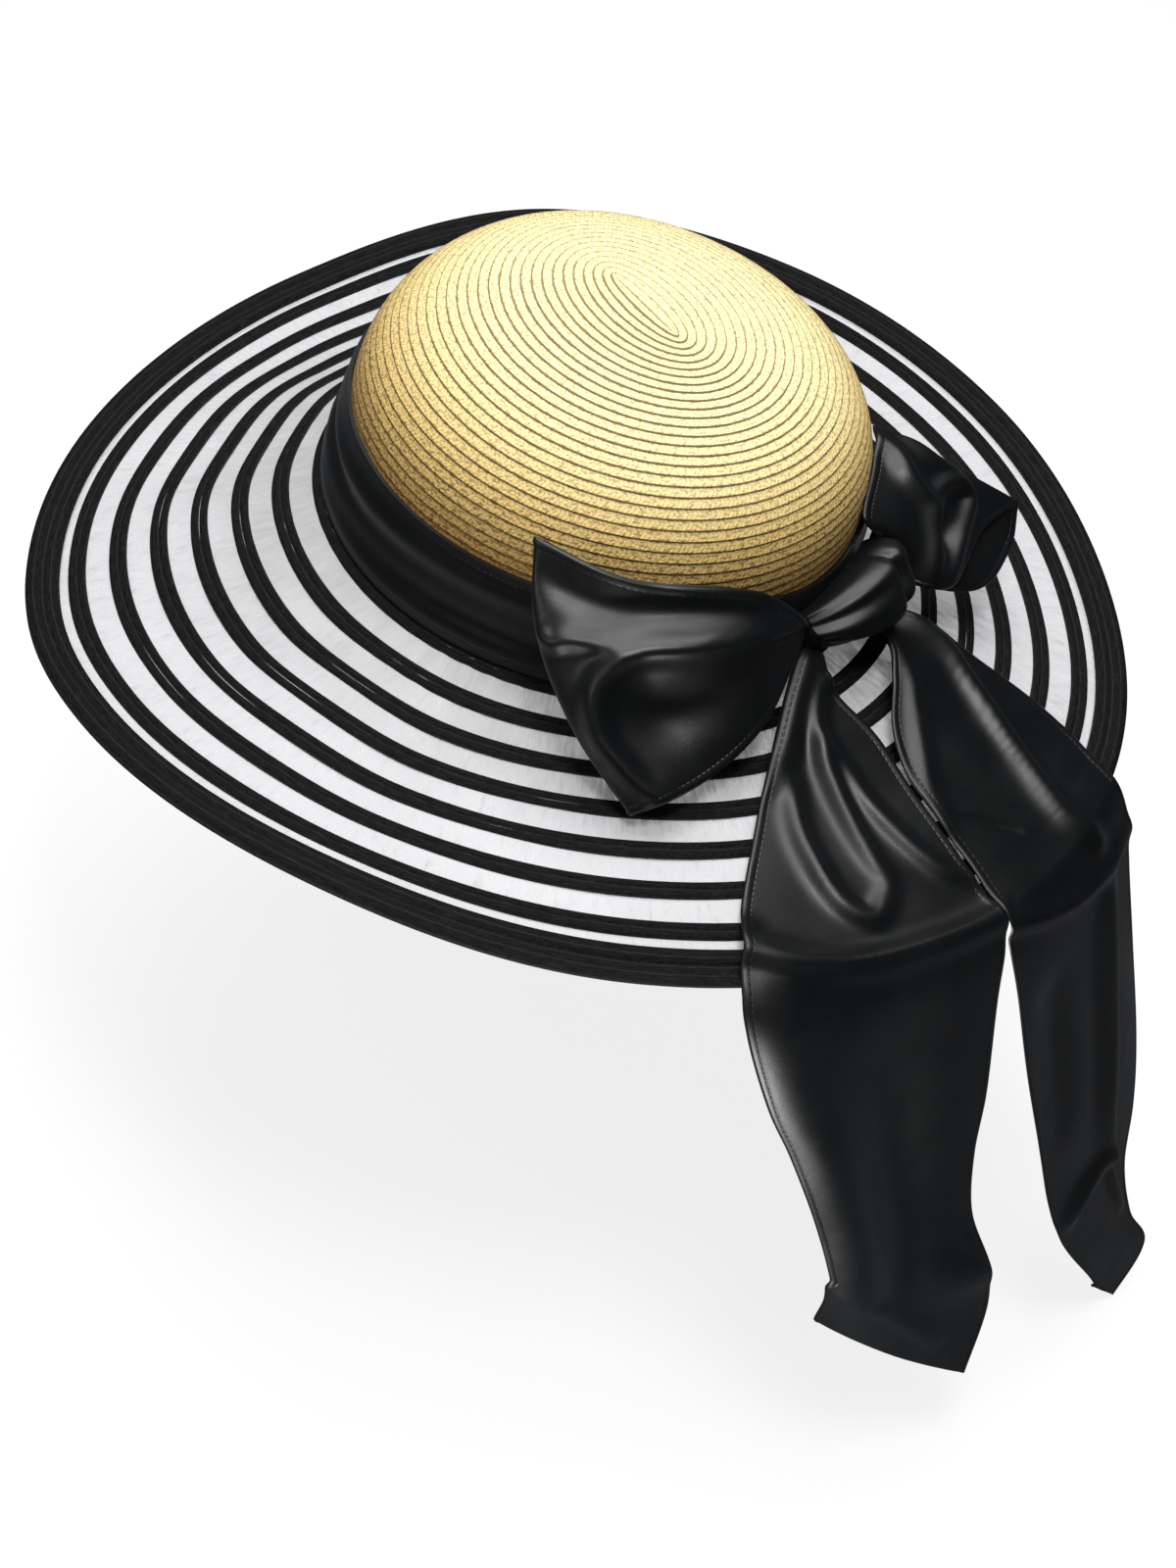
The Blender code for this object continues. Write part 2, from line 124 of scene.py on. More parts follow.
LEFT_LOOP = (
    # turn, share of the brim's width out, share of the crown's height up
    ((-98.5, 0.09, 0.57), (-105.0, 0.17, 0.44), (-103.0, 0.23, 0.29), (-100.0, 0.28, 0.15)),
    ((-122.5, 0.09, 0.65), (-122.0, 0.18, 0.44), (-116.5, 0.28, 0.22), (-110.5, 0.38, 0.04)),
    ((-141.0, 0.07, 0.73), (-137.0, 0.21, 0.47), (-129.0, 0.35, 0.21), (-120.5, 0.50, 0.01)),
)
RIGHT_LOOP_FRONT = (
    ((-59.0, 0.028, 0.49), (-54.5, 0.13, 0.43), (-52.0, 0.23, 0.30), (-51.5, 0.32, 0.17)),
    ((-47.0, 0.014, 0.55), (-43.5, 0.13, 0.49), (-39.0, 0.28, 0.36), (-38.5, 0.40, 0.20)),
    ((-35.5, 0.02, 0.59), (-34.5, 0.19, 0.49), (-33.0, 0.36, 0.35), (-31.5, 0.54, 0.20)),
)
RIGHT_LOOP_BACK = (
    ((-50.5, 0.072, 0.38), (-50.5, 0.20, 0.28), (-49.0, 0.32, 0.17), (-45.5, 0.42, 0.07)),
    ((-36.5, 0.055, 0.49), (-37.5, 0.22, 0.37), (-36.5, 0.40, 0.22), (-37.0, 0.52, 0.10)),
    ((-35.5, 0.02, 0.59), (-34.5, 0.19, 0.49), (-33.0, 0.36, 0.35), (-31.5, 0.54, 0.20)),
)
TAIL_DROP = 0.200
TAIL_LEAN = 0.25
TAIL_ROLL = 0.006
TAIL_REST = 0.0026
# Travel is 0 at the crown and 1 at the rim, and each further 1 is the drop. Lift is a share of the sash's height.
LEFT_TAIL = (
    # left edge's turn, travel and lift, right edge's turn, travel and lift
    (-80.0, 0.07, 0.24, -79.0, 0.09, 0.23),
    (-83.0, 0.08, 0.23, -80.5, 0.13, 0.23),
    (-87.3, 0.10, 0.27, -81.8, 0.18, 0.25),
    (-93.5, 0.20, 0.18, -81.8, 0.24, 0.18),
    (-100.0, 0.36, 0.10, -80.2, 0.38, 0.10),
    (-104.6, 0.53, 0.05, -81.1, 0.56, 0.05),
    (-108.5, 0.72, 0.03, -81.7, 0.78, 0.03),
    (-110.6, 0.88, 0.02, -82.2, 0.97, 0.00),
    (-111.4, 1.00, 0.00, -82.5, 1.04, 0.00),
    (-111.1, 1.06, 0.00, -83.7, 1.14, 0.00),
    (-108.7, 1.20, 0.00, -84.7, 1.33, 0.00),
    (-106.4, 1.30, 0.00, -85.9, 1.45, 0.00),
    (-103.9, 1.43, 0.00, -86.0, 1.58, 0.00),
    (-101.9, 1.56, 0.00, -84.4, 1.73, 0.00),
    (-100.8, 1.66, 0.00, -83.4, 1.84, 0.00),
    (-100.6, 1.76, 0.00, -86.0, 1.98, 0.00),
)
RIGHT_TAIL = (
    (-67.0, 0.10, 0.20, -61.0, 0.10, 0.20),
    (-67.5, 0.20, 0.30, -58.5, 0.21, 0.30),
    (-72.0, 0.29, 0.25, -56.0, 0.33, 0.25),
    (-77.5, 0.39, 0.15, -54.6, 0.47, 0.15),
    (-80.6, 0.52, 0.08, -54.2, 0.64, 0.08),
    (-81.2, 0.67, 0.03, -54.8, 0.79, 0.03),
    (-81.4, 0.84, 0.02, -56.8, 0.94, 0.02),
    (-82.0, 1.00, 0.00, -58.0, 1.06, 0.00),
    (-82.0, 1.06, 0.00, -57.8, 1.18, 0.00),
    (-80.7, 1.18, 0.00, -56.4, 1.37, 0.00),
    (-79.0, 1.36, 0.00, -54.4, 1.66, 0.00),
    (-77.0, 1.54, 0.00, -55.4, 1.82, 0.00),
    (-75.2, 1.72, 0.00, -59.6, 1.90, 0.03),
    (-72.6, 1.87, 0.00, -59.8, 2.03, 0.10),
    (-67.4, 2.06, 0.00, -58.0, 2.15, 0.20),
    (-66.0, 2.12, 0.00, -62.8, 2.21, 0.04),
)

# Each fold: its places as shares along and across the ribbon, its width and its height.
LEFT_LOOP_FOLDS = (
    (((0.05, 0.10), (0.12, 0.27), (0.20, 0.33), (0.26, 0.34), (0.31, 0.42), (0.36, 0.54), (0.39, 0.68), (0.39, 0.80),
      (0.38, 0.92), (0.35, 0.99)), 0.0055, 0.0060),
    (((0.30, 0.60), (0.26, 0.64), (0.18, 0.62)), 0.0120, -0.0055),
    (((0.43, 0.12), (0.30, 0.15), (0.17, 0.12)), 0.0070, -0.0030),
    (((0.45, 0.34), (0.41, 0.36), (0.37, 0.34), (0.30, 0.33)), 0.0034, 0.0030),
    (((0.24, 0.03), (0.16, 0.07)), 0.0035, 0.0018),
)
RIGHT_LOOP_FOLDS = (
    (((0.38, 0.04), (0.33, 0.18), (0.27, 0.32), (0.22, 0.52), (0.16, 0.72), (0.10, 0.95)), 0.0050, 0.0045),
    (((0.22, 0.56), (0.27, 0.56), (0.31, 0.64), (0.29, 0.78), (0.21, 0.86), (0.13, 0.97)), 0.0038, 0.0040),
    (((0.22, 0.68), (0.20, 0.74)), 0.0045, -0.0030),
    (((0.45, 0.20), (0.38, 0.42), (0.36, 0.62)), 0.0060, 0.0030),
)
LEFT_TAIL_FOLDS = (
    (((0.03, 0.60), (0.08, 0.36), (0.14, 0.27), (0.19, 0.20), (0.24, 0.13), (0.29, 0.05)), 0.0062, 0.0055),
    (((0.14, 0.88), (0.19, 0.62), (0.23, 0.48), (0.27, 0.46), (0.33, 0.52), (0.38, 0.58), (0.41, 0.63)),
     0.0040, 0.0042),
    (((0.29, 0.20), (0.34, 0.24), (0.38, 0.31), (0.42, 0.39), (0.44, 0.47), (0.44, 0.53), (0.42, 0.60)),
     0.0042, 0.0040),
    (((0.25, 0.52), (0.29, 0.61), (0.33, 0.68), (0.37, 0.77), (0.41, 0.87), (0.43, 0.97)), 0.0036, 0.0032),
    (((0.455, -0.30), (0.475, 0.00), (0.495, 0.20), (0.505, 0.40), (0.500, 0.65), (0.490, 1.00), (0.48, 1.30)),
     0.0065, 0.0056),
    (((0.54, 0.08), (0.65, 0.13), (0.75, 0.19), (0.85, 0.22), (0.93, 0.18)), 0.0170, 0.0095),
    (((0.84, 1.30), (0.87, 0.95), (0.88, 0.70)), 0.0130, 0.0050),
    (((0.62, 0.55), (0.78, 0.55), (0.88, 0.45)), 0.0170, -0.0060),
    (((0.93, 0.30), (0.95, 0.45), (0.97, 0.70)), 0.0040, 0.0020),
)
RIGHT_TAIL_FOLDS = (
    (((0.05, 0.95), (0.10, 0.85), (0.15, 0.81), (0.21, 0.73), (0.27, 0.66), (0.34, 0.61), (0.41, 0.60), (0.46, 0.69)),
     0.0050, 0.0044),
    (((0.08, 0.14), (0.14, 0.23), (0.19, 0.21), (0.25, 0.14), (0.30, 0.07), (0.35, 0.02)), 0.0046, 0.0028),
    (((0.34, 0.10), (0.36, 0.21), (0.39, 0.34)), 0.0020, -0.0012),
    (((0.46, -0.30), (0.48, 0.05), (0.495, 0.35), (0.495, 0.65), (0.48, 1.00)), 0.0060, 0.0036),
    (((0.52, 0.72), (0.58, 0.66), (0.66, 0.58), (0.72, 0.56), (0.77, 0.64)), 0.0070, 0.0055),
    (((0.77, 0.64), (0.80, 0.34), (0.83, 0.16)), 0.0060, 0.0042),
    (((0.77, 0.64), (0.85, 0.86)), 0.0030, 0.0028),
    (((0.60, 0.22), (0.72, 0.20)), 0.0110, -0.0040),
)

# Share along at which the lower end turns under itself, from the left edge to the right one.
LEFT_TURN_UNDER = (0.89, 0.93, 0.96, 0.98, 1.00)
RIGHT_TURN_UNDER = (0.985, 0.99, 1.00, 1.00, 1.00)
TURN_UNDER_SLOPE = 0.35

PLAN_HALF_LENGTH = (HEAD_LENGTH - HEAD_WIDTH) / 2
CROWN_REACH = HEAD_WIDTH / 2 + STRAW_WALL
CROWN_FOOT = 2 * BRIM_RISE
CROWN_RISE = CROWN_HEIGHT - SHOULDER_HEIGHT


class HatLooks(bpy.types.PropertyGroup):
    """Sizes and colours of the hat that a user may change."""

    straw_row: FloatProperty(name="Straw row", description="Width of a sewn row of straw that shows",
                             default=0.00375, min=0.002, max=0.01, unit="LENGTH")
    straw_step: FloatProperty(name="Straw step", description="Height of a row over the next one",
                              default=0.0006, min=0, max=0.002, unit="LENGTH")
    plait_length: FloatProperty(name="Plait length", description="Length of one stroke of the straw plait",
                                default=0.0017, min=0.001, max=0.01, unit="LENGTH")
    straw_color: FloatVectorProperty(name="Straw", description="Colour of the straw", subtype="COLOR",
                                     default=(0.34, 0.18, 0.042), min=0, max=1)
    cord_height: FloatProperty(name="Braid height", description="Height of the braid over the cloth",
                               default=0.0013, min=0.0005, max=0.004, unit="LENGTH")
    braid_color: FloatVectorProperty(name="Braid", description="Colour of the braid", subtype="COLOR",
                                     default=(0.005, 0.0055, 0.005), min=0, max=1)
    cloth_color: FloatVectorProperty(name="Sheer cloth", description="Colour of the sheer cloth",
                                     subtype="COLOR", default=(0.70, 0.70, 0.72), min=0, max=1)
    cloth_cover: FloatProperty(name="Cloth cover", description="Share of the light that the sheer cloth stops",
                               default=0.62, min=0, max=1)
    pucker_height: FloatProperty(name="Puckers", description="Height of the small puckers at the crown",
                                 default=0.0005, min=0, max=0.003, unit="LENGTH")
    satin_color: FloatVectorProperty(name="Satin", description="Colour of the satin", subtype="COLOR",
                                     default=(0.0022, 0.0026, 0.003), min=0, max=1)
    satin_wall: FloatProperty(name="Satin thickness", description="Thickness of the ribbon",
                              default=0.0007, min=0.0003, max=0.002, unit="LENGTH")
    hem_wall: FloatProperty(name="Hem thickness", description="Thickness of the ribbon's rolled hem",
                            default=0.0013, min=0.0003, max=0.003, unit="LENGTH")
    hem_width: FloatProperty(name="Hem width", description="Width of the ribbon's rolled hem",
                             default=0.0026, min=0.001, max=0.01, unit="LENGTH")
    around: IntProperty(name="Steps around", description="Steps of the finest ring", default=288, min=64, max=400)


def looks():
    """The hat's settings."""
    return bpy.context.scene.hat_looks


def steps(count):
    return count


# Shape formulas, for whole arrays of places


def plan(turn, reach, height):
    """Point of the oval `reach` outside the crown's centre line: the oval grows by the same amount all round."""
    x = reach * np.cos(turn)
    y = (PLAN_HALF_LENGTH + reach) * np.sin(turn)
    return np.stack(np.broadcast_arrays(x, y, height), axis=-1)


def leaned(points):
    """Points moved sideways in proportion to their height over the crown's foot."""
    lean = CROWN_LEAN * np.maximum(points[..., 2] - CROWN_FOOT, 0) / (CROWN_HEIGHT - CROWN_FOOT)
    side = math.radians(LEAN_TURN)
    moved = points.copy()
    moved[..., 0] += lean * math.cos(side)
    moved[..., 1] += lean * math.sin(side)
    return moved


def crown_reach(height):
    """Half width of the crown at a height: straight up to the shoulder, then a rounded superellipse."""
    share = np.clip((height - SHOULDER_HEIGHT) / CROWN_RISE, 0, 1)
    return CROWN_REACH * (1 - share ** DOME_ROUNDNESS) ** (1 / DOME_ROUNDNESS)


def curve_weights(t):
    """The four weights of a smooth cubic between its second and third value."""
    return (0.5 * (-t + 2 * t ** 2 - t ** 3), 1 + 0.5 * (-5 * t ** 2 + 3 * t ** 3),
            0.5 * (t + 4 * t ** 2 - 3 * t ** 3), 0.5 * (t ** 3 - t ** 2))


def round_blend(rows, turn, column):
    """Smooth value of a table's column at each turn, with evenly spaced rows taken as a closed ring."""
    values = np.array([row[column] for row in rows], float)
    place = np.degrees(turn) % 360 / (360 / len(values))
    row = np.floor(place).astype(int)
    weights = curve_weights(place - row)
    return sum(w * values[(row + k - 1) % len(values)] for k, w in enumerate(weights))


def line_blend(places, share):
    """Smooth curve through evenly spaced places (first axis) at shares of its length."""
    places = np.asarray(places, float)
    ends = np.concatenate([[2 * places[0] - places[1]], places, [2 * places[-1] - places[-2]]])
    last = len(places) - 1
    row = np.clip(np.floor(share * last).astype(int), 0, last - 1)
    t = share * last - row
    shape = t.shape + (1,) * (places.ndim - 1)
    return sum(w.reshape(shape) * ends[row + k] for k, w in enumerate(curve_weights(t)))


def brim_surface(turn, distance):
    """Point of the sheer cloth at a distance out along it: one arc, then the rim band's straight slope."""
    root, rim, band = (np.radians(round_blend(BRIM_SECTIONS, turn, column)) for column in (1, 2, 3))
    arc = BRIM_WIDTH - EDGE_WIDTH
    on_arc, on_band = np.minimum(distance, arc), np.maximum(distance - arc, 0)
    bend = (rim - root) / arc
    bend = np.where(np.abs(bend) < 1e-4, 1e-4, bend)
    out = (np.sin(root + bend * on_arc) - np.sin(root)) / bend + on_band * np.cos(band)
    rise = (np.cos(root) - np.cos(root + bend * on_arc)) / bend + on_band * np.sin(band)
    for middle, spread, share, start, end in BRIM_CREASES:
        aside = ((np.degrees(turn) - middle + 180) % 360 - 180) / spread
        along = (distance / BRIM_WIDTH - start) / (end - start)
        near = (np.abs(aside) < 1) & (along > 0) & (along < 1)
        rise = rise + np.where(near, CREASE_HEIGHT * share * np.cos(np.pi / 2 * aside) ** 2
                               * np.sin(np.pi * along), 0)
    return plan(turn, CROWN_REACH + out, BRIM_RISE + rise)


def over_brim(turn, distance, lift):
    """Point raised over the sheer cloth, at right angles to it."""
    turn, distance = np.broadcast_arrays(turn, distance)
    small = 0.0004
    along = brim_surface(turn, distance + small) - brim_surface(turn, distance - small)
    side = np.stack([-np.sin(turn), np.cos(turn), np.zeros_like(turn)], axis=-1)
    up = np.cross(along, side)
    up /= np.linalg.norm(up, axis=-1, keepdims=True)
    return brim_surface(turn, distance) + up * np.broadcast_to(lift, turn.shape)[..., None]


def braid_middles():
    """Distance out of each braid's middle: evenly spaced up to the rim band's own space."""
    first = FIRST_BRAID_OFFSET + BRAID_WIDTH / 2
    last = BRIM_WIDTH - EDGE_WIDTH - EDGE_SPACE - BRAID_WIDTH / 2
    return np.linspace(first, last, BRAID_COUNT)


def sash_top(turn):
    """Height of the sash's upper edge, drawn down in a bell curve at the knot."""
    aside = ((np.degrees(turn) - KNOT_TURN + 180) % 360 - 180) / SASH_DIP_SPREAD
    return SASH_HEIGHT - SASH_DIP * np.exp(-aside ** 2)


def sash_foot(turn):
    """Height of the sash's lower edge, just over the braid that lies under it."""
    return over_brim(turn, SASH_FLARE, looks().cord_height + 0.0008)[..., 2]


def sash_reach(height, turn):
    """Reach of the sash's outer face: the crown's, plus a flare that grows towards its foot."""
    foot = sash_foot(turn)
    share = np.clip((height - foot) / (sash_top(turn) - foot), 0, 1)
    flare = np.interp(share, (0, 0.33, 0.70, 1), (1, 0.66, 0.24, 0))
    return crown_reach(height) + SASH_FLARE * flare + 0.0016


def knot_section(place):
    """Turn, height, girth and back of the knot at a place from -1 to 1: narrow at its left end."""
    turn = np.radians(KNOT_TURN + KNOT_SPAN * place)
    middle = KNOT_HEIGHT + KNOT_RISE * place
    girth = np.sqrt(1 - KNOT_TAPER * place ** 2)
    girth = girth * (1 - KNOT_NARROWING * ((1 - place) / 2) ** 2 + KNOT_FULLNESS * ((1 + place) / 2) ** 3)
    return turn, middle, girth, sash_reach(middle, turn)


def drape(turn, travel, lift):
    """Point of a hanging end: over the brim up to travel 1, then rolled over the rim and down."""
    rest = TAIL_REST + lift
    drop = np.maximum(travel - 1, 0) * TAIL_DROP
    out = TAIL_ROLL * (1 - np.exp(-drop / TAIL_ROLL)) + TAIL_LEAN * drop
    points = over_brim(turn, np.minimum(travel, 1) * BRIM_WIDTH, rest)
    away = np.stack([np.cos(turn) * out, np.sin(turn) * out, -drop], axis=-1)
    return points + away


# Meshes from whole arrays


def add_mesh(name, points, faces, uv, finish, sharp=None):
    """Mesh object from arrays of points, four-sided faces and one UV place for each face corner."""
    mesh = bpy.data.meshes.new(name)
    mesh.vertices.add(len(points))
    mesh.vertices.foreach_set("co", np.ascontiguousarray(points, np.float32).ravel())
    mesh.loops.add(faces.size)
    mesh.loops.foreach_set("vertex_index", np.ascontiguousarray(faces, np.int32).ravel())
    mesh.polygons.add(len(faces))
    mesh.polygons.foreach_set("loop_start", np.arange(0, faces.size, 4, dtype=np.int32))
    layer = mesh.uv_layers.new(name="UVMap")
    mesh.update(calc_edges=True)
    layer.data.foreach_set("uv", np.ascontiguousarray(uv, np.float32).ravel())
    mesh.materials.append(finish)
    mesh.shade_smooth()
    if sharp:
        mesh.set_sharp_from_angle(angle=math.radians(sharp))
    made = bpy.data.objects.new(name, mesh)
    bpy.context.scene.collection.objects.link(made)
    return made


def facing_out(points, faces, uv):
    """Faces turned outwards: the solid's signed volume is made positive."""
    a, b, c, d = (points[faces[:, k]] for k in range(4))
    volume = np.einsum("ij,ij->", a, np.cross(b, c)) + np.einsum("ij,ij->", a, np.cross(c, d))
    if volume < 0:
        faces, uv = faces[:, ::-1], uv[:, ::-1]
    return faces, uv


def tube(name, grid, uv, finish, closed_along=True, sharp=None):
    """Closed solid from a grid of sections (first axis) whose points (second axis) run right round.

    uv has one more row and column than the grid has steps, so that it can run on over the seams.
    A tube that isn't closed along its length gets a cap of four-sided faces at each end.
    """
    rows, size = grid.shape[:2]
    i = np.arange(rows if closed_along else rows - 1)[:, None]
    k = np.arange(size)[None, :]
    corners = [(i, k), (i, k + 1), (i + 1, k + 1), (i + 1, k)]
    faces = np.stack([(a % rows) * size + b % size + 0 * i * k for a, b in corners], axis=-1).reshape(-1, 4)
    places = np.stack([uv[a, b] + 0 * uv[i, k] for a, b in corners], axis=-2).reshape(-1, 4, 2)
    if not closed_along:
        half = np.arange(size // 2 - 1)
        for row, flip in ((0, 1), (rows - 1, -1)):
            cap = np.stack([half, size - 1 - half, size - 2 - half, half + 1], axis=-1)[:, ::flip]
            faces = np.concatenate([faces, cap + row * size])
            places = np.concatenate([places, uv[row, cap]])
    points = grid.reshape(-1, 3)
    faces, places = facing_out(points, faces, places)
    return add_mesh(name, points, faces, places, finish, sharp)


def lengths(points, axis):
    """Distance run along one axis of a grid of points, from its start."""
    run = np.cumsum(np.linalg.norm(np.diff(points, axis=axis), axis=-1), axis=axis)
    return np.concatenate([np.zeros_like(np.take(run, [0], axis=axis)), run], axis=axis)


def facing(grid):
    """Direction at right angles to a grid of points."""
    across = np.gradient(grid, axis=1)
    along = np.gradient(grid, axis=0)
    out = np.cross(along, across)
    return out / np.maximum(np.linalg.norm(out, axis=-1, keepdims=True), 1e-9)


def ribbon(name, grid, finish, wall, hem_wall, hem_width):
    """Closed ribbon on both sides of a grid: its wall thickens to a rolled hem along both long edges.

    The UV place is the distance from the nearer long edge and the distance along, in metres.
    """
    out = facing(grid)
    across = lengths(grid, 1)
    edge = np.minimum(across, across[:, -1:] - across)
    bead = np.clip(1 - edge / hem_width, 0, 1)
    half = (wall + (hem_wall - wall) * np.sin(np.pi * np.clip(bead, 0, 0.86) / 0.86) ** 0.7) / 2
    half[:, [0, -1]] = wall / 5
    top, bottom = grid + out * half[..., None], grid - out * half[..., None]
    section = np.concatenate([top, bottom[:, ::-1]], axis=1)
    along = np.mean(lengths(grid, 0), axis=1, keepdims=True) + 0 * edge
    flat = np.stack([edge, along], axis=-1)
    flat = np.concatenate([flat, flat[:, ::-1]], axis=1)
    flat = np.concatenate([flat, flat[:, :1]], axis=1)
    return tube(name, section, flat, finish, closed_along=False)


def folded(grid, folds, outward):
    """Grid moved at right angles to itself by its folds.

    A fold is a smooth line through places on the cloth, each a share along and a share across. The cloth
    rises by the fold's height on the line, less towards the line's ends, and falls off as a bell curve of
    the distance from it. Distance along the cloth counts as more, so that a layer behind stays as it is.
    """
    out = facing(grid)
    out = out * np.sign((out * outward).sum(-1, keepdims=True))
    rows, lanes = grid.shape[:2]
    run = lengths(grid, 0)[-1].mean()
    along = np.linspace(0, 1, rows)[:, None]
    moved = np.zeros((rows, lanes))
    for places, width, height in folds:
        line = np.clip(line_blend(places, np.linspace(0, 1, 90)), 0, 1)
        places = line * (rows - 1, lanes - 1)
        low = np.minimum(places.astype(int), (rows - 2, lanes - 2))
        (i, j), (part_i, part_j) = low.T, (places - low).T[:, :, None]
        marks = ((1 - part_i) * ((1 - part_j) * grid[i, j] + part_j * grid[i, j + 1])
                 + part_i * ((1 - part_j) * grid[i + 1, j] + part_j * grid[i + 1, j + 1]))
        raised = np.zeros((rows, lanes))
        for share, mark, fade in zip(line[:, 0], marks, 0.3 + 0.7 * np.sin(np.pi * np.linspace(0, 1, 90)) ** 0.5):
            far = ((grid - mark) ** 2).sum(-1) + (0.6 * run * (along - share)) ** 2
            raised = np.maximum(raised, fade * np.exp(-far / width ** 2))
        moved = moved + height * raised
    return grid + out * moved[..., None]


def keep(piece, slot, *nodes):
    """Tie a finished piece to the hat's one body and hide the nodes that it stands for. The slot is not used."""
    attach(piece, "root")
    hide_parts(*nodes)
    return piece


# Finishes


class Nodes:
    """Small helper that adds shader nodes to one tree."""

    def __init__(self, tree):
        self.tree = tree

    def add(self, kind, inputs=(), **settings):
        """One node of a kind, with settings, and with inputs given by name or number as values or sockets."""
        node = self.tree.nodes.new("ShaderNode" + kind)
        for key, value in settings.items():
            setattr(node, key, value)
        for key, value in dict(inputs).items():
            if isinstance(value, bpy.types.NodeSocket):
                self.tree.links.new(value, node.inputs[key])
            else:
                node.inputs[key].default_value = value
        return node

    def math(self, operation, *values):
        """Result of a sum on one to three values or sockets."""
        return self.add("Math", dict(enumerate(values)), operation=operation).outputs[0]

    def range(self, value, low, high, to_low, to_high, smooth=True):
        """A value taken from one range to another, eased and held at its ends."""
        kind = "SMOOTHSTEP" if smooth else "LINEAR"
        return self.add("MapRange", {0: value, 1: low, 2: high, 3: to_low, 4: to_high},
                        interpolation_type=kind).outputs[0]

    def mix(self, share, a, b):
        """Colour between two colours."""
        return self.add("Mix", {0: share, 6: a, 7: b}, data_type="RGBA").outputs[2]

    def noise(self, vector, scale, detail=3.0, roughness=0.6):
        """Soft noise from 0 to 1 at a place."""
        return self.add("TexNoise", {"Vector": vector, "Scale": scale, "Detail": detail,
                                     "Roughness": roughness}).outputs[0]


def new_group(name, inputs, outputs):
    """Empty node group with float or vector inputs and float outputs, and its helper."""
    group = bpy.data.node_groups.new(name, "ShaderNodeTree")
    for title, kind, value in inputs:
        socket = group.interface.new_socket(title, in_out="INPUT", socket_type=kind)
        if value is not None:
            socket.default_value = value
    for title in outputs:
        group.interface.new_socket(title, in_out="OUTPUT", socket_type="NodeSocketFloat")
    return group, Nodes(group), group.nodes.new("NodeGroupInput"), group.nodes.new("NodeGroupOutput")


def mottle_group():
    """Group: slow and fine unevenness of a finish by place on the object, from 0 to 1."""
    found = bpy.data.node_groups.get("Mottle")
    if found:
        return found
    group, nodes, start, end = new_group(
        "Mottle", (("Size", "NodeSocketFloat", 0.02),), ("Slow", "Fine"))
    place = nodes.add("TexCoord").outputs["Object"]
    scale = nodes.math("DIVIDE", 1.0, start.outputs["Size"])
    group.links.new(nodes.noise(place, scale), end.inputs["Slow"])
    group.links.new(nodes.noise(place, nodes.math("MULTIPLY", scale, 14.0), 2.0), end.inputs["Fine"])
    return group


def stroke_group():
    """Group: slanted strokes of a plait or twist on a strip, V-shaped about the strip's middle."""
    found = bpy.data.node_groups.get("Plait strokes")
    if found:
        return found
    group, nodes, start, end = new_group(
        "Plait strokes", (("Along", "NodeSocketFloat", 0.0), ("Across", "NodeSocketFloat", 0.0),
                          ("Slant", "NodeSocketFloat", 0.6)), ("Height", "Gap"))
    middle = nodes.math("ABSOLUTE", nodes.math("SUBTRACT", start.outputs["Across"], 0.5))
    phase = nodes.math("ADD", start.outputs["Along"], nodes.math("MULTIPLY", middle, start.outputs["Slant"]))
    wave = nodes.math("SINE", nodes.math("MULTIPLY", phase, 2 * math.pi))
    height = nodes.math("MULTIPLY_ADD", wave, 0.5, 0.5)
    group.links.new(nodes.math("POWER", height, 0.6), end.inputs["Height"])
    # Gap: mask of the low valleys between strokes; the straw paints shade there.
    group.links.new(nodes.range(height, 0.0, 0.28, 1.0, 0.0), end.inputs["Gap"])
    return group


def new_finish(name, **sockets):
    """Material with one Principled shader, its constant sockets set, and the helper for its nodes."""
    made = bpy.data.materials.new(name)
    made.use_nodes = True
    shader = made.node_tree.nodes["Principled BSDF"]
    for key, value in sockets.items():
        shader.inputs[key.replace("_", " ")].default_value = value
    return made, Nodes(made.node_tree), shader


def use_group(nodes, group, **inputs):
    """A group's node with its inputs set."""
    node = nodes.tree.nodes.new("ShaderNodeGroup")
    node.node_tree = group
    for key, value in inputs.items():
        if isinstance(value, bpy.types.NodeSocket):
            nodes.tree.links.new(value, node.inputs[key])
        else:
            node.inputs[key].default_value = value
    return node


def color4(color, share=1.0):
    """A colour setting, made darker or lighter, with its fourth part."""
    return (*(min(c * share, 1.0) for c in color), 1.0)


def uv_parts(nodes):
    """The two parts of the piece's own UV place."""
    parts = nodes.add("SeparateXYZ", {0: nodes.add("UVMap", uv_map="UVMap").outputs[0]})
    return parts.outputs[0], parts.outputs[1]


def bump(nodes, shader, height, distance, strength=1.0):
    """Fine relief on a shader from a height."""
    made = nodes.add("Bump", {"Height": height, "Distance": distance, "Strength": strength})
    nodes.tree.links.new(made.outputs[0], shader.inputs["Normal"])


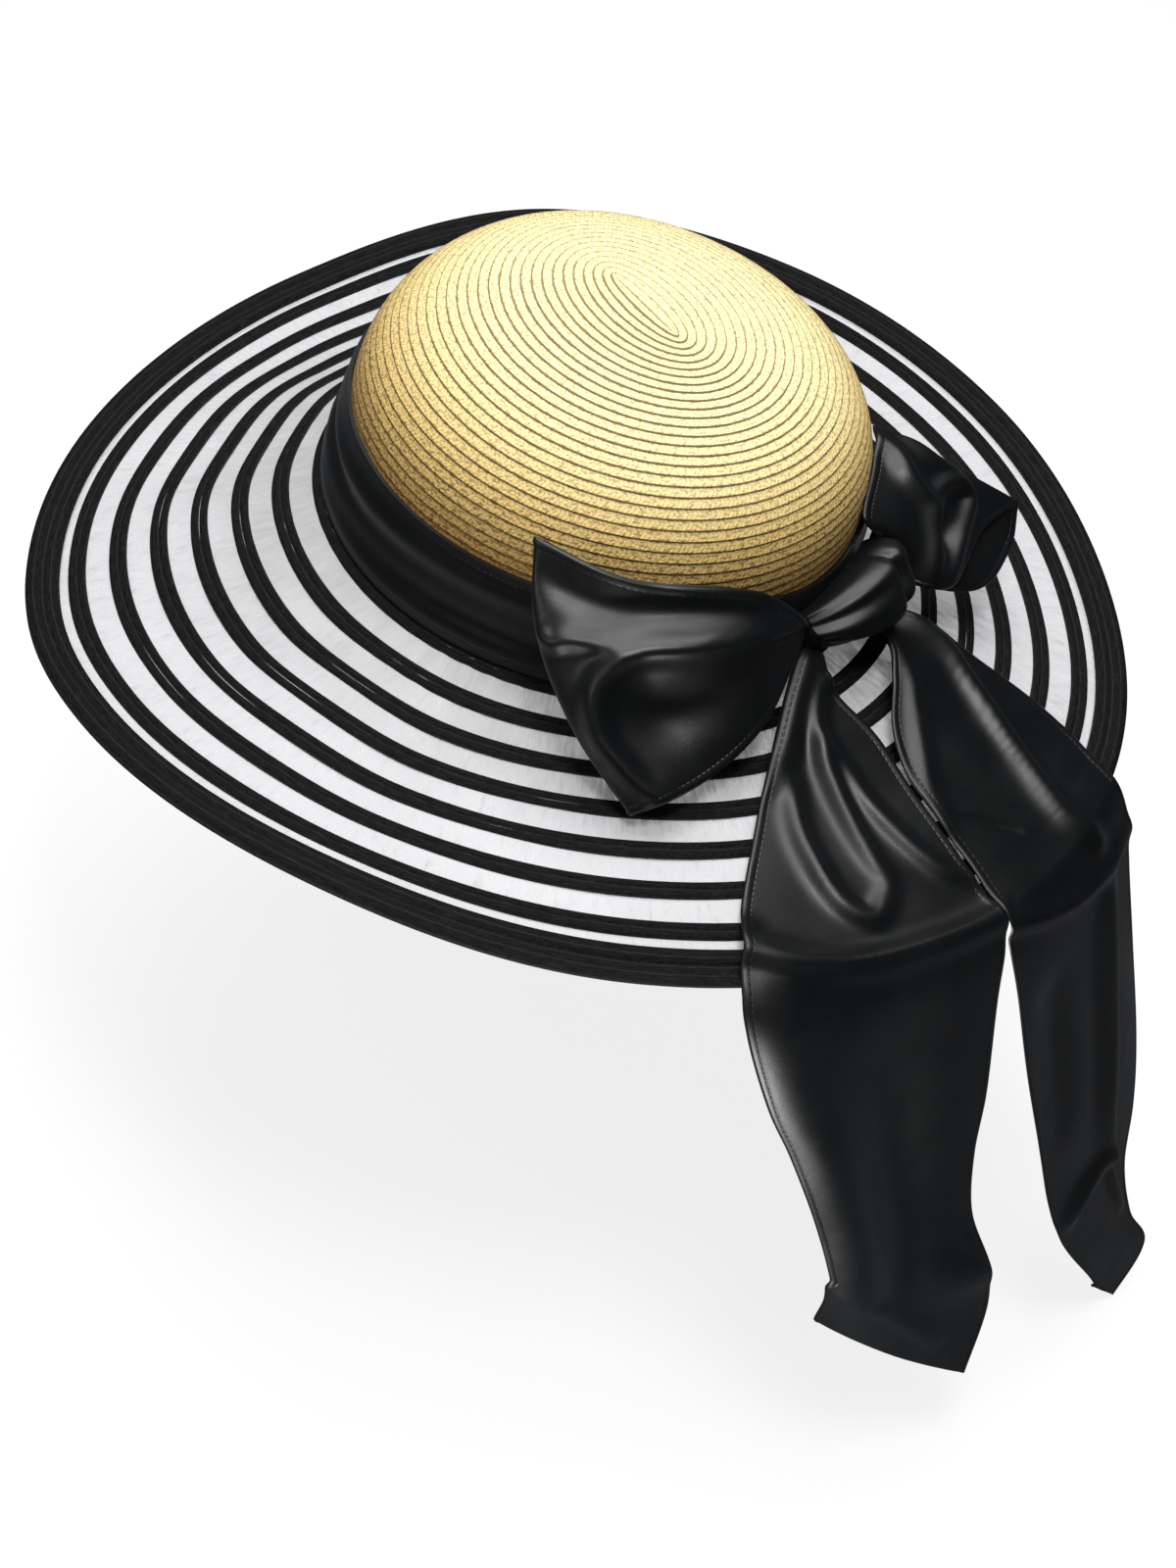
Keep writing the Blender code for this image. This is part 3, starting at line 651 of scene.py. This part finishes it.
def straw_finish():
    """Straw: fine chopped strokes along each row, painted paler towards the top and darker lower down as light from
    above and shade below, partly the straw's own tone, with painted glints, painted shade between plait strokes and a
    painted shadow line between rows.
    """
    found = bpy.data.materials.get("straw rows")
    if found:
        return found
    made, nodes, shader = new_finish("straw rows", Specular_IOR_Level=0.3, Sheen_Weight=0.03)
    link = nodes.tree.links.new
    color = looks().straw_color
    along, row = uv_parts(nodes)
    across = nodes.math("FRACT", row)
    plait = use_group(nodes, stroke_group(), Along=along, Across=across, Slant=1.3)
    uneven = use_group(nodes, mottle_group(), Size=0.016)
    # Painted light and shade by height: the straw is painted paler towards the top, as if lit from above, and darker
    # lower down, as if in shade; this is only partly the straw's own tone.
    rise = nodes.add("SeparateXYZ", {0: nodes.add("TexCoord").outputs["Object"]}).outputs[2]
    pale = nodes.range(rise, 0.036, 0.084, 0.0, 1.0)
    base = nodes.mix(nodes.range(rise, 0.032, 0.068, 0.0, 1.0), color4(color), color4((0.80, 0.58, 0.21)))
    base = nodes.mix(nodes.range(rise, 0.058, 0.092, 0.0, 1.0), base, color4((0.97, 0.88, 0.48)))
    place = nodes.add("CombineXYZ", {0: nodes.math("MULTIPLY", along, 0.8), 1: nodes.math("MULTIPLY", row, 4.0)})
    chopped = nodes.noise(place.outputs[0], 1.0, 3.0, 0.75)
    # The chopped marks are painted fainter towards the top, as if washed out by the light from above.
    seen = nodes.range(pale, 0.0, 1.0, 0.95, 0.50)
    dark = nodes.math("MULTIPLY", nodes.range(chopped, 0.47, 0.60, 0.0, 1.0), seen)
    base = nodes.mix(dark, base, color4(color, 0.42))
    # Painted glints: random strokes in a colour paler than the straw's own stand in for light glinting off the
    # fibres.
    light = nodes.math("MULTIPLY", nodes.range(chopped, 0.44, 0.30, 0.0, 1.0), seen)
    base = nodes.mix(nodes.math("MULTIPLY", light, 0.7), base, color4((0.62, 0.42, 0.15)))
    # Painted shade in the low gaps between plait strokes.
    base = nodes.mix(nodes.math("MULTIPLY", plait.outputs["Gap"], 0.25), base, color4(color, 0.5))
    # Painted shadow: a dark line along the joins between rows stands in for the shadow each row's edge casts on the
    # next; it is painted fainter towards the top.
    offset = nodes.math("PINGPONG", across, 0.5)
    line = nodes.range(offset, 0.04, nodes.range(chopped, 0.3, 0.7, 0.10, 0.22), 1.0, 0.0)
    line = nodes.math("MULTIPLY", line, nodes.range(pale, 0.0, 1.0, 0.92, 0.72))
    base = nodes.mix(line, base, color4((0.14, 0.065, 0.012)))
    link(base, shader.inputs["Base Color"])
    link(nodes.range(uneven.outputs["Slow"], 0.3, 0.7, 0.55, 0.7), shader.inputs["Roughness"])
    height = nodes.math("MULTIPLY_ADD", chopped, -0.9, nodes.math("MULTIPLY", plait.outputs["Height"], 0.5))
    bump(nodes, shader, height, 0.0004, 0.7)
    return made


def braid_finish():
    """Black braid: fine fibres that run along two cords, dusty in the groove between them."""
    found = bpy.data.materials.get("braid cords")
    if found:
        return found
    made, nodes, shader = new_finish("braid cords", Specular_IOR_Level=0.08)
    link = nodes.tree.links.new
    color = looks().braid_color
    along, across = uv_parts(nodes)
    cord = nodes.math("FRACT", across)
    plait = use_group(nodes, stroke_group(), Along=along, Across=cord, Slant=1.0)
    place = nodes.add("CombineXYZ", {0: nodes.math("MULTIPLY", along, 0.55), 1: nodes.math("MULTIPLY", across, 7.0)})
    fibres = nodes.noise(place.outputs[0], 1.0, 4.0, 0.7)
    uneven = use_group(nodes, mottle_group(), Size=0.006)
    base = nodes.mix(nodes.range(fibres, 0.42, 0.68, 0.0, 1.0), color4(color), color4(color, 3.0))
    groove = nodes.range(nodes.math("ABSOLUTE", nodes.math("SUBTRACT", cord, 0.5)), 0.36, 0.48, 0.0, 0.7)
    base = nodes.mix(nodes.math("MULTIPLY", groove, uneven.outputs["Fine"]), base, (0.045, 0.045, 0.040, 1.0))
    link(base, shader.inputs["Base Color"])
    link(nodes.range(uneven.outputs["Fine"], 0.3, 0.7, 0.65, 0.9), shader.inputs["Roughness"])
    height = nodes.math("MULTIPLY_ADD", fibres, 1.2, nodes.math("MULTIPLY", plait.outputs["Height"], 0.4))
    bump(nodes, shader, height, 0.0005, 0.9)
    return made


def sheer_finish():
    """Sheer cloth: see-through, with fine crinkled threads that run outwards, and painted shade near the crown."""
    found = bpy.data.materials.get("sheer cloth")
    if found:
        return found
    made, nodes, shader = new_finish("sheer cloth", Specular_IOR_Level=0.4, Sheen_Weight=0.15)
    link = nodes.tree.links.new
    around, out = uv_parts(nodes)
    place = nodes.add("CombineXYZ", {0: nodes.math("MULTIPLY", around, 380.0), 1: nodes.math("MULTIPLY", out, 90.0)})
    threads = nodes.noise(place.outputs[0], 1.0, 4.0, 0.7)
    uneven = use_group(nodes, mottle_group(), Size=0.07)
    color = looks().cloth_color
    base = nodes.mix(uneven.outputs["Slow"], color4(color), color4(color, 0.80))
    # Painted shade: the cloth is darkened near the crown in slow patches, standing in for shade and the dark inside
    # of the hat seen through it.
    shade = nodes.math("MULTIPLY", nodes.range(out, 0.010, 0.085, 0.85, 0.0), uneven.outputs["Slow"])
    base = nodes.mix(shade, base, (0.20, 0.19, 0.18, 1.0))
    base = nodes.mix(nodes.range(threads, 0.52, 0.75, 0.0, 0.45), base, color4(color, 0.45))
    link(base, shader.inputs["Base Color"])
    cover = nodes.math("MULTIPLY", nodes.range(threads, 0.25, 0.75, 0.80, 1.25), looks().cloth_cover)
    link(cover, shader.inputs["Alpha"])
    link(nodes.range(uneven.outputs["Slow"], 0.3, 0.7, 0.3, 0.5), shader.inputs["Roughness"])
    bump(nodes, shader, threads, 0.0005, 0.7)
    return made


def satin_finish():
    """Black satin: smooth, with a broad cool shine, a fine grain and stitches near its edges."""
    found = bpy.data.materials.get("black satin cloth")
    if found:
        return found
    made, nodes, shader = new_finish("black satin cloth", Specular_IOR_Level=0.45, Sheen_Weight=0.02,
                                     Sheen_Roughness=0.4, Sheen_Tint=(0.75, 0.85, 1.0, 1.0))
    link = nodes.tree.links.new
    color = looks().satin_color
    edge, along = uv_parts(nodes)
    uneven = use_group(nodes, mottle_group(), Size=0.03)
    weave = use_group(nodes, mottle_group(), Size=0.006)
    link(nodes.mix(uneven.outputs["Slow"], color4(color, 0.8), color4(color, 1.3)), shader.inputs["Base Color"])
    link(nodes.range(uneven.outputs["Slow"], 0.3, 0.7, 0.34, 0.44), shader.inputs["Roughness"])
    line = nodes.range(nodes.math("ABSOLUTE", nodes.math("SUBTRACT", edge, 0.0032)), 0.0001, 0.0005, 1.0, 0.0)
    dash = nodes.range(nodes.math("FRACT", nodes.math("DIVIDE", along, 0.0024)), 0.55, 0.7, 1.0, 0.0)
    dip = nodes.math("MULTIPLY", line, dash)
    grain = nodes.math("MULTIPLY_ADD", weave.outputs["Fine"], 0.22, nodes.math("MULTIPLY", uneven.outputs["Fine"], 0.15))
    bump(nodes, shader, nodes.math("SUBTRACT", grain, nodes.math("MULTIPLY", dip, 0.6)), 0.0003, 0.6)
    return made


# Pieces


def make_crown():
    """Domed shell of sewn straw rows, nested round a short line on top; each row steps over the next."""
    look = looks()
    around = look.around
    angle = np.linspace(0, np.pi / 2, 400)
    reach = CROWN_REACH * np.cos(angle) ** (2 / DOME_ROUNDNESS)
    height = SHOULDER_HEIGHT + CROWN_RISE * np.sin(angle) ** (2 / DOME_ROUNDNESS)
    reach, height = np.concatenate([[CROWN_REACH], reach]), np.concatenate([[0.0], height])
    run = np.concatenate([[0], np.cumsum(np.hypot(np.diff(reach), np.diff(height)))])
    rows = int(round(run[-1] / look.straw_row))
    turn = np.linspace(0, 2 * np.pi, around + 1)[:-1] + math.radians(50)

    def surface(place, inset):
        """Point at a share of the way up the crown's profile, raised by an amount at right angles to it."""
        s = place * run[-1]
        r, h = np.interp(s, run, reach), np.interp(s, run, height)
        dr, dh = (np.interp(s + 0.001, run, x) - np.interp(s - 0.001, run, x) for x in (reach, height))
        size = np.hypot(dr, dh) + 1e-9
        half = PLAN_HALF_LENGTH + (ROW_LINE_LENGTH / 2 - PLAN_HALF_LENGTH) * np.clip(1 - r / CROWN_REACH, 0, 1) ** 1.5
        x = r[:, None] * np.cos(turn)[None]
        y = (half + r)[:, None] * np.sin(turn)[None]
        own = np.hypot(x, y)
        for _ in range(8):
            level = (x / np.maximum(own, 1e-6)) ** 2 + (y / (PLAN_HALF_LENGTH + own)) ** 2
            own = own * np.sqrt(np.maximum(level, 1e-12))
        own = np.clip(own, 0, CROWN_REACH)
        dome = (1 - (own / CROWN_REACH) ** DOME_ROUNDNESS) ** (1 / DOME_ROUNDNESS)
        z = np.where(s[:, None] > SHOULDER_HEIGHT, SHOULDER_HEIGHT + CROWN_RISE * dome, h[:, None])
        out = (dh / size * inset)[:, None]
        x = x + out * np.cos(turn)[None]
        y = y + out * np.sin(turn)[None]
        z = z - (dr / size * inset)[:, None]
        return leaned(np.stack([x, y, z], axis=-1))

    phases = np.array((0.0, 0.08, 0.35, 0.7, 0.92, 0.98))
    rises = np.array((1.0, 0.9, 0.62, 0.3, 0.08, 0.1))
    place = ((np.arange(rows)[:, None] + phases[None]) / rows).ravel()
    lift = np.tile(rises, rows) * look.straw_step
    place, lift = np.append(place, 1.0), np.append(lift, 0.0)
    outer = surface(place, lift - look.straw_step)
    inner_place = np.linspace(1, 0, rows + 1)
    inner = surface(inner_place, np.full(rows + 1, -STRAW_WALL) - look.straw_step * (np.arange(rows + 1) % 2))
    grid = np.concatenate([outer, inner]).transpose(1, 0, 2)
    ring = lengths(np.concatenate([outer, outer[:, :1]], axis=1), 1)[:, -1]
    count = np.round(ring / look.plait_length)
    row_of = np.concatenate([np.repeat(np.arange(rows), len(phases)), [rows - 1]])
    count = count[np.minimum(row_of * len(phases), len(count) - 1)]
    u = np.concatenate([count, np.full(rows + 1, count[0])])
    v = np.concatenate([place * rows, inner_place * rows])
    share = np.linspace(0, 1, around + 1)[:, None]
    uv = np.stack([share * u[None], 0 * share + v[None]], axis=-1)
    uv = np.concatenate([uv, uv[:, :1]], axis=1)
    crown = tube("straw_crown", grid, uv, straw_finish())
    return keep(crown, "straw", "crown")


def make_sheer():
    """Sheer cloth from the crown to the rim, with small puckers that fade out from the crown."""
    look = looks()
    around, out_steps = steps(480), steps(110)
    turn = (np.linspace(0, 2 * np.pi, around + 1)[:-1] + math.radians(50))[:, None]
    out = np.linspace(-0.0004, BRIM_WIDTH - 0.002, out_steps)[None]
    fade = np.exp(-out / 0.018) * (1 - np.exp(-(out + 0.0005) / 0.004))
    pucker = look.pucker_height * fade * (np.sin(61 * turn + 2 * np.sin(5 * turn))
                                          * (0.6 + 0.4 * np.sin(7 * turn + 1)))
    wave = 0.0004 * np.sin(9 * turn + 60 * out) * np.sin(np.pi * np.clip(out / BRIM_WIDTH, 0, 1))
    top = over_brim(turn, out, pucker + wave)
    under = over_brim(turn, out, pucker + wave - 0.0004)
    grid = np.concatenate([top, under[:, ::-1]], axis=1)
    share = np.linspace(0, 1, around + 1)[:, None]
    distance = np.concatenate([out, out[:, ::-1], out[:, :1]], axis=1)
    uv = np.stack([share + 0 * distance, distance + 0 * share], axis=-1)
    cloth = tube("sheer_brim", grid, uv, sheer_finish(), sharp=60)
    keep(cloth, "sheer_cloth", "brim_cloth")
    return cloth


def ring_of(name, middle_out, height_of, cords, width, low, around, twist):
    """Closed ring on the brim: a top of rounded cords side by side over a flat underside."""
    turn = (np.linspace(0, 2 * np.pi, around + 1)[:-1] + math.radians(50))[:, None]
    share = np.linspace(0, 1, 6 * cords + 1)
    top = height_of(share)
    place = np.concatenate([share, share[::-1]])[None]
    lift = np.concatenate([top, np.full(len(share), low)])[None]
    grid = over_brim(turn, middle_out + (place - 0.5) * width, lift + 0 * turn)
    run = np.linspace(0, 1, around + 1)[:, None] * twist
    across = np.concatenate([place, place[:, :1]], axis=1) * cords
    uv = np.stack([run + 0 * across, across + 0 * run], axis=-1)
    return tube(name, grid, uv, braid_finish())


def make_braids():
    """Seven rings of braid, each a pair of cords side by side."""
    look = looks()
    made = []
    for number, middle in enumerate(braid_middles(), 1):
        def cords(share):
            """Height of two rounded cords with a groove between them."""
            return 0.0002 + look.cord_height * np.abs(np.sin(2 * np.pi * share)) ** 0.45
        twist = round(2 * math.pi * (CROWN_REACH + middle) / 0.0032)
        ring = ring_of(f"braid_ring_{number}", middle, cords, 2, BRAID_WIDTH, 0.00005, steps(480), twist)
        made.append(keep(ring, "black_braid", f"brim_braid_{number}"))
    return made


def make_rim():
    """Rim band: two braids side by side over the cloth's edge and folded under it."""
    look = looks()
    around = steps(480)
    turn = (np.linspace(0, 2 * np.pi, around + 1)[:-1] + math.radians(50))[:, None]
    share = np.linspace(0, 1, 25)
    cords = np.abs(np.sin(2 * np.pi * np.clip(share / 0.94, 0, 1))) ** 0.4
    top = 0.0004 + (look.cord_height + 0.0003) * cords * (1 - 0.35 * (share > 0.97))
    top[-1] = 0.0002
    place = np.concatenate([share, share[::-1]])
    lift = np.concatenate([top, -0.0012 - 0.8 * top[::-1]])
    grid = over_brim(turn, BRIM_WIDTH - EDGE_WIDTH + place[None] * EDGE_WIDTH, lift[None] + 0 * turn)
    run = np.linspace(0, 1, around + 1)[:, None] * round(2 * math.pi * 0.2 / 0.0032)
    across = np.append(place, place[0])[None] * 4
    uv = np.stack([run + 0 * across, across + 0 * run], axis=-1)
    ring = tube("rim_band", grid, uv, braid_finish())
    return keep(ring, "black_braid", "brim_edge")


def make_sash():
    """Satin band round the crown's foot, with long soft folds that run round it."""
    look = looks()
    around, up = steps(480), 26
    turn = (np.linspace(0, 2 * np.pi, around + 1)[:-1] + math.radians(50))[:, None]
    share = np.linspace(0, 1, up)[None]
    foot, top = sash_foot(turn), sash_top(turn)
    height = foot + (top - foot) * share
    fold = 0.0010 * np.sin(np.pi * share) * (
        np.sin(2 * np.pi * (1.6 * share + 0.12 * np.sin(2 * turn + 1) + 0.06 * np.sin(5 * turn)))
        + 0.5 * np.sin(2 * np.pi * (3.1 * share + 0.2 * np.sin(3 * turn))))
    outer = sash_reach(height, turn) + fold
    inner = np.maximum(outer - look.satin_wall - 0.0006, crown_reach(height) + 0.0001)
    grid = np.concatenate([leaned(plan(turn, outer, height)), leaned(plan(turn, inner, height))[:, ::-1]], axis=1)
    wide = np.concatenate([share, share[:, ::-1], share[:, :1]], axis=1) * SASH_HEIGHT
    edge = np.minimum(wide, SASH_HEIGHT - wide)
    run = np.linspace(0, 0.62, around + 1)[:, None]
    uv = np.stack([edge + 0 * run, run + 0 * edge], axis=-1)
    sash = tube("satin_sash", grid, uv, satin_finish(), sharp=60)
    keep(sash, "black_satin", "sash")
    return sash


def make_knot():
    """Wound lump of ribbon: pleats run together at its narrow left end, and a crease rings its right one."""
    rings, sides = steps(120), steps(144)
    place = np.linspace(-1, 1, rings)[:, None]
    angle = np.linspace(0, 2 * np.pi, sides + 1)[:-1][None]
    turn, middle, girth, back = knot_section(place)
    pleat = 0.0007 * (np.cos(4 * angle + 0.9 * place) + 0.5 * (1 - place) / 2 * np.cos(9 * angle - 1.6 * place + 1))
    crease = 0.0020 * np.exp(-((place - 0.42 - 0.16 * np.sin(angle + 0.6)) / 0.11) ** 2)
    grown = pleat * (0.5 + 0.5 * girth) - crease
    height = middle + (KNOT_THICKNESS / 2 * girth + grown) * np.sin(angle)
    reach = back + (KNOT_DEPTH / 2 * girth + grown) * (1 + np.cos(angle))
    turn = turn + 0 * angle
    reach = np.maximum(reach, sash_reach(height, turn) + 0.0014)
    grid = leaned(plan(turn, reach, height))
    run = np.linspace(0, 0.07, sides + 1)[None] + 0.01
    uv = np.stack([np.minimum(run, 0.09 - run) + 0 * place, 0.03 * place + 0 * run], axis=-1)
    knot = tube("bow_knot_wrap", grid, uv, satin_finish(), closed_along=False)
    return keep(knot, "black_satin", "bow_knot")


def knot_root(side):
    """Places where a loop leaves the knot, from top to bottom, at its left end (-1) or right end (1)."""
    turn, middle, girth, back = (float(x) for x in knot_section(np.array(float(side))))
    turn += side * LOOP_ROOT_GAP / back
    half, depth = KNOT_THICKNESS / 2 * girth, KNOT_DEPTH / 2 * girth
    fan = KNOT_ROOT_FAN[side]
    return [leaned(plan(turn, back + depth * (1 - fan * share), middle + half * share)) for share in KNOT_ROOT_SPREAD]


def bow_place(place):
    """Point of a loop from its turn, share of the brim's width out and share of the crown's height up."""
    turn, out, up = place
    return plan(math.radians(turn), CROWN_REACH + out * BRIM_WIDTH, up * CROWN_HEIGHT)


def loop_grid(side, front, back, opening, folds):
    """Points of a loop: out from the knot to the fold by the front table, and home by the back one."""
    rows, lanes = steps(160), steps(80)
    t = np.linspace(0, 1, rows)
    share = np.sin(np.pi * t) ** LOOP_EASE
    across = np.linspace(0, 1, lanes)
    sides = []
    for table in (front, back):
        lines = np.array([[root] + [bow_place(row[column]) for row in table]
                          for column, root in enumerate(knot_root(side))])
        crossing = line_blend(lines.transpose(1, 0, 2), share)
        sides.append(line_blend(crossing.transpose(1, 0, 2), across).transpose(1, 0, 2))
    grid = np.where(t[:, None, None] < 0.5, *sides)
    spread = line_blend(np.array(LOOP_SPREAD), across)
    away = grid * (1, 1, 0)
    away = away / np.linalg.norm(away, axis=-1, keepdims=True) * math.cos(math.radians(LOOP_TILT))
    away[..., 2] = math.sin(math.radians(LOOP_TILT))
    open_by = (opening / 2 * spread[None] * (np.sin(2 * np.pi * t) * (1 + share))[:, None]
               + LOOP_ROOT_SPACE / 2 * np.cos(np.pi * t)[:, None])
    return folded(grid + away * open_by[..., None], folds, away)


def make_loop(name, node, grid):
    """Ribbon that runs out from the knot, folds over and comes back behind itself."""
    look = looks()
    loop = ribbon(name, grid, satin_finish(), look.satin_wall, look.hem_wall, look.hem_width)
    keep(loop, "black_satin", node)
    return loop


def tail_grid(table, folds, turn_under):
    """Points of a hanging end: each row runs straight from its left to its right edge, then the folds."""
    rows, lanes = steps(260), steps(90)
    along = np.linspace(0, 1, rows)
    columns = line_blend(np.array(table), along)[:, :, None]
    across = np.linspace(0, 1, lanes)[None]
    turn, travel, lift = (columns[:, k] + (columns[:, k + 3] - columns[:, k]) * across for k in range(3))
    lift = np.maximum(lift, 0) * SASH_HEIGHT
    hang = np.clip((travel - 0.97) / 0.06, 0, 1)
    turn = np.radians(turn)
    grid = drape(turn, travel, lift * (1 - hang))
    away = np.stack([np.cos(turn), np.sin(turn), 0 * turn], axis=-1)
    under = np.maximum(along[:, None] - line_blend(turn_under, across), 0) * lengths(grid, 0)[-1].mean()
    grid = grid + away * (lift * hang - TURN_UNDER_SLOPE * under)[..., None]
    return folded(grid, folds, away + (0, 0, 1))


def make_tail(name, node, grid):
    """Long ribbon end: pleated where it leaves the knot, flat over the rim, and hanging past it."""
    look = looks()
    tail = ribbon(name, grid, satin_finish(), look.satin_wall, look.hem_wall, look.hem_width)
    keep(tail, "black_satin", node)
    return tail


def make_stage():
    """Plain pale floor and backdrop, soft lights and the camera."""
    scene = bpy.context.scene
    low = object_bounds()[0][2]
    mesh = bpy.data.meshes.new("floor")
    size = 6.0
    mesh.from_pydata([(-size, -size, low), (size, -size, low), (size, size, low), (-size, size, low)], [],
                     [(0, 1, 2, 3)])
    made, nodes, shader = new_finish("pale floor", Roughness=0.85)
    seen = nodes.add("LightPath").outputs["Is Camera Ray"]
    link = nodes.tree.links.new
    link(nodes.mix(seen, (0.06, 0.06, 0.06, 1.0), (0.22, 0.22, 0.22, 1.0)), shader.inputs["Base Color"])
    link(nodes.mix(seen, (0.0, 0.0, 0.0, 1.0), (0.78, 0.78, 0.78, 1.0)), shader.inputs["Emission Color"])
    shader.inputs["Emission Strength"].default_value = 1.0
    mesh.materials.append(made)
    floor = bpy.data.objects.new("floor", mesh)
    scene.collection.objects.link(floor)
    floor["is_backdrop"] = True
    world = bpy.data.worlds.new("studio")
    world.use_nodes = True
    nodes = Nodes(world.node_tree)
    path = nodes.add("LightPath")
    back = world.node_tree.nodes["Background"]
    back.inputs[0].default_value = (0.95, 0.97, 1.0, 1)
    soft = nodes.range(path.outputs["Is Glossy Ray"], 0.0, 1.0, 0.25, 0.04, smooth=False)
    link = nodes.tree.links.new
    link(nodes.math("MAXIMUM", path.outputs["Is Camera Ray"], soft), back.inputs[1])
    scene.world = world
    scene.view_settings.view_transform = "Standard"
    for name, place, size, power in (
        ("top light", (0.15, 0.40, 1.5), 1.2, 25),
        ("front light", (-0.30, -0.50, 1.46), 0.4, 13),
        ("left light", (-1.5, -0.1, 0.8), 0.5, 3),
        ("low light", (-0.27, -0.48, -0.225), 0.09, 2.0),
    ):
        data = bpy.data.lights.new(name, "AREA")
        data.size = size
        data.energy = power
        lamp = bpy.data.objects.new(name, data)
        back = np.array(place) / np.linalg.norm(place)
        side = np.cross((0, 0, 1), back) if abs(back[2]) < 0.999 else np.array((1.0, 0, 0))
        side /= np.linalg.norm(side)
        turned = np.array((side, np.cross(back, side), back)).T
        lamp.visible_camera = False
        lamp.matrix_world = Matrix.Translation(place) @ Matrix(turned.tolist()).to_4x4()
        scene.collection.objects.link(lamp)
    rise, side, roll, distance = math.radians(44.9), math.radians(-40), math.radians(8.9), 1.056
    back = np.array((math.sin(side) * math.cos(rise), -math.cos(side) * math.cos(rise), math.sin(rise)))
    right = np.array((math.cos(side), math.sin(side), 0))
    up = np.cross(back, right)
    image_right = math.cos(roll) * right + math.sin(roll) * up
    image_up = math.cos(roll) * up - math.sin(roll) * right
    data = bpy.data.cameras.new("camera")
    data.lens = 66.1
    data.clip_start = 0.01
    camera = bpy.data.objects.new("camera", data)
    axes = Matrix(np.array((image_right, image_up, back)).T.tolist()).to_4x4()
    camera.matrix_world = Matrix.Translation(back * distance - image_up * 0.10172) @ axes
    scene.collection.objects.link(camera)
    scene.camera = camera


# Operators and panel


class HAT_OT_crown(bpy.types.Operator):
    """Make the sewn straw crown"""

    bl_idname = "hat.crown"
    bl_label = "Straw crown"

    def execute(self, context):
        make_crown()
        return {"FINISHED"}


class HAT_OT_brim(bpy.types.Operator):
    """Make the sheer brim, its braid rings and its rim band"""

    bl_idname = "hat.brim"
    bl_label = "Sheer brim and braids"

    def execute(self, context):
        make_sheer()
        make_braids()
        make_rim()
        return {"FINISHED"}


class HAT_OT_sash(bpy.types.Operator):
    """Make the satin sash and the bow's knot"""

    bl_idname = "hat.sash"
    bl_label = "Sash and knot"

    def execute(self, context):
        make_sash()
        make_knot()
        return {"FINISHED"}


class HAT_OT_loops(bpy.types.Operator):
    """Make the bow's two loops"""

    bl_idname = "hat.loops"
    bl_label = "Bow loops"

    def execute(self, context):
        left = loop_grid(-1, LEFT_LOOP, LEFT_LOOP, LOOP_OPENING, LEFT_LOOP_FOLDS)
        right = loop_grid(1, RIGHT_LOOP_FRONT, RIGHT_LOOP_BACK, 0, RIGHT_LOOP_FOLDS)
        make_loop("satin_loop_left", "bow_loop_left", left)
        make_loop("satin_loop_right", "bow_loop_right", right)
        return {"FINISHED"}


class HAT_OT_tails(bpy.types.Operator):
    """Make the bow's two hanging ends"""

    bl_idname = "hat.tails"
    bl_label = "Bow tails"

    def execute(self, context):
        left = tail_grid(LEFT_TAIL, LEFT_TAIL_FOLDS, LEFT_TURN_UNDER)
        right = tail_grid(RIGHT_TAIL, RIGHT_TAIL_FOLDS, RIGHT_TURN_UNDER)
        make_tail("satin_tail_left", "tail_left", left)
        make_tail("satin_tail_right", "tail_right", right)
        return {"FINISHED"}


class HAT_OT_stage(bpy.types.Operator):
    """Make the floor, the lights and the camera"""

    bl_idname = "hat.stage"
    bl_label = "Stage"

    def execute(self, context):
        make_stage()
        return {"FINISHED"}


class HAT_PT_panel(bpy.types.Panel):
    """Settings of the hat and a button for each group of pieces"""

    bl_idname = "HAT_PT_panel"
    bl_label = "Summer Hat"
    bl_space_type = "VIEW_3D"
    bl_region_type = "UI"
    bl_category = "Summer Hat"

    def draw(self, context):
        for key in HatLooks.__annotations__:
            self.layout.prop(context.scene.hat_looks, key)
        for operator in OPERATORS:
            self.layout.operator(operator.bl_idname)


OPERATORS = (HAT_OT_crown, HAT_OT_brim, HAT_OT_sash, HAT_OT_loops, HAT_OT_tails, HAT_OT_stage)
CLASSES = (HatLooks, *OPERATORS, HAT_PT_panel)


def register():
    """Add the settings, operators and panel."""
    for item in CLASSES:
        bpy.utils.register_class(item)
    bpy.types.Scene.hat_looks = PointerProperty(type=HatLooks)


def unregister():
    """Take the settings, operators and panel away."""
    del bpy.types.Scene.hat_looks
    for item in reversed(CLASSES):
        bpy.utils.unregister_class(item)


def main():
    """Make every piece in order."""
    register()
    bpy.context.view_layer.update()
    for step in (bpy.ops.hat.crown, bpy.ops.hat.brim, bpy.ops.hat.sash, bpy.ops.hat.loops, bpy.ops.hat.tails,
                 bpy.ops.hat.stage):
        step()


if __name__ == "__main__":
    main()
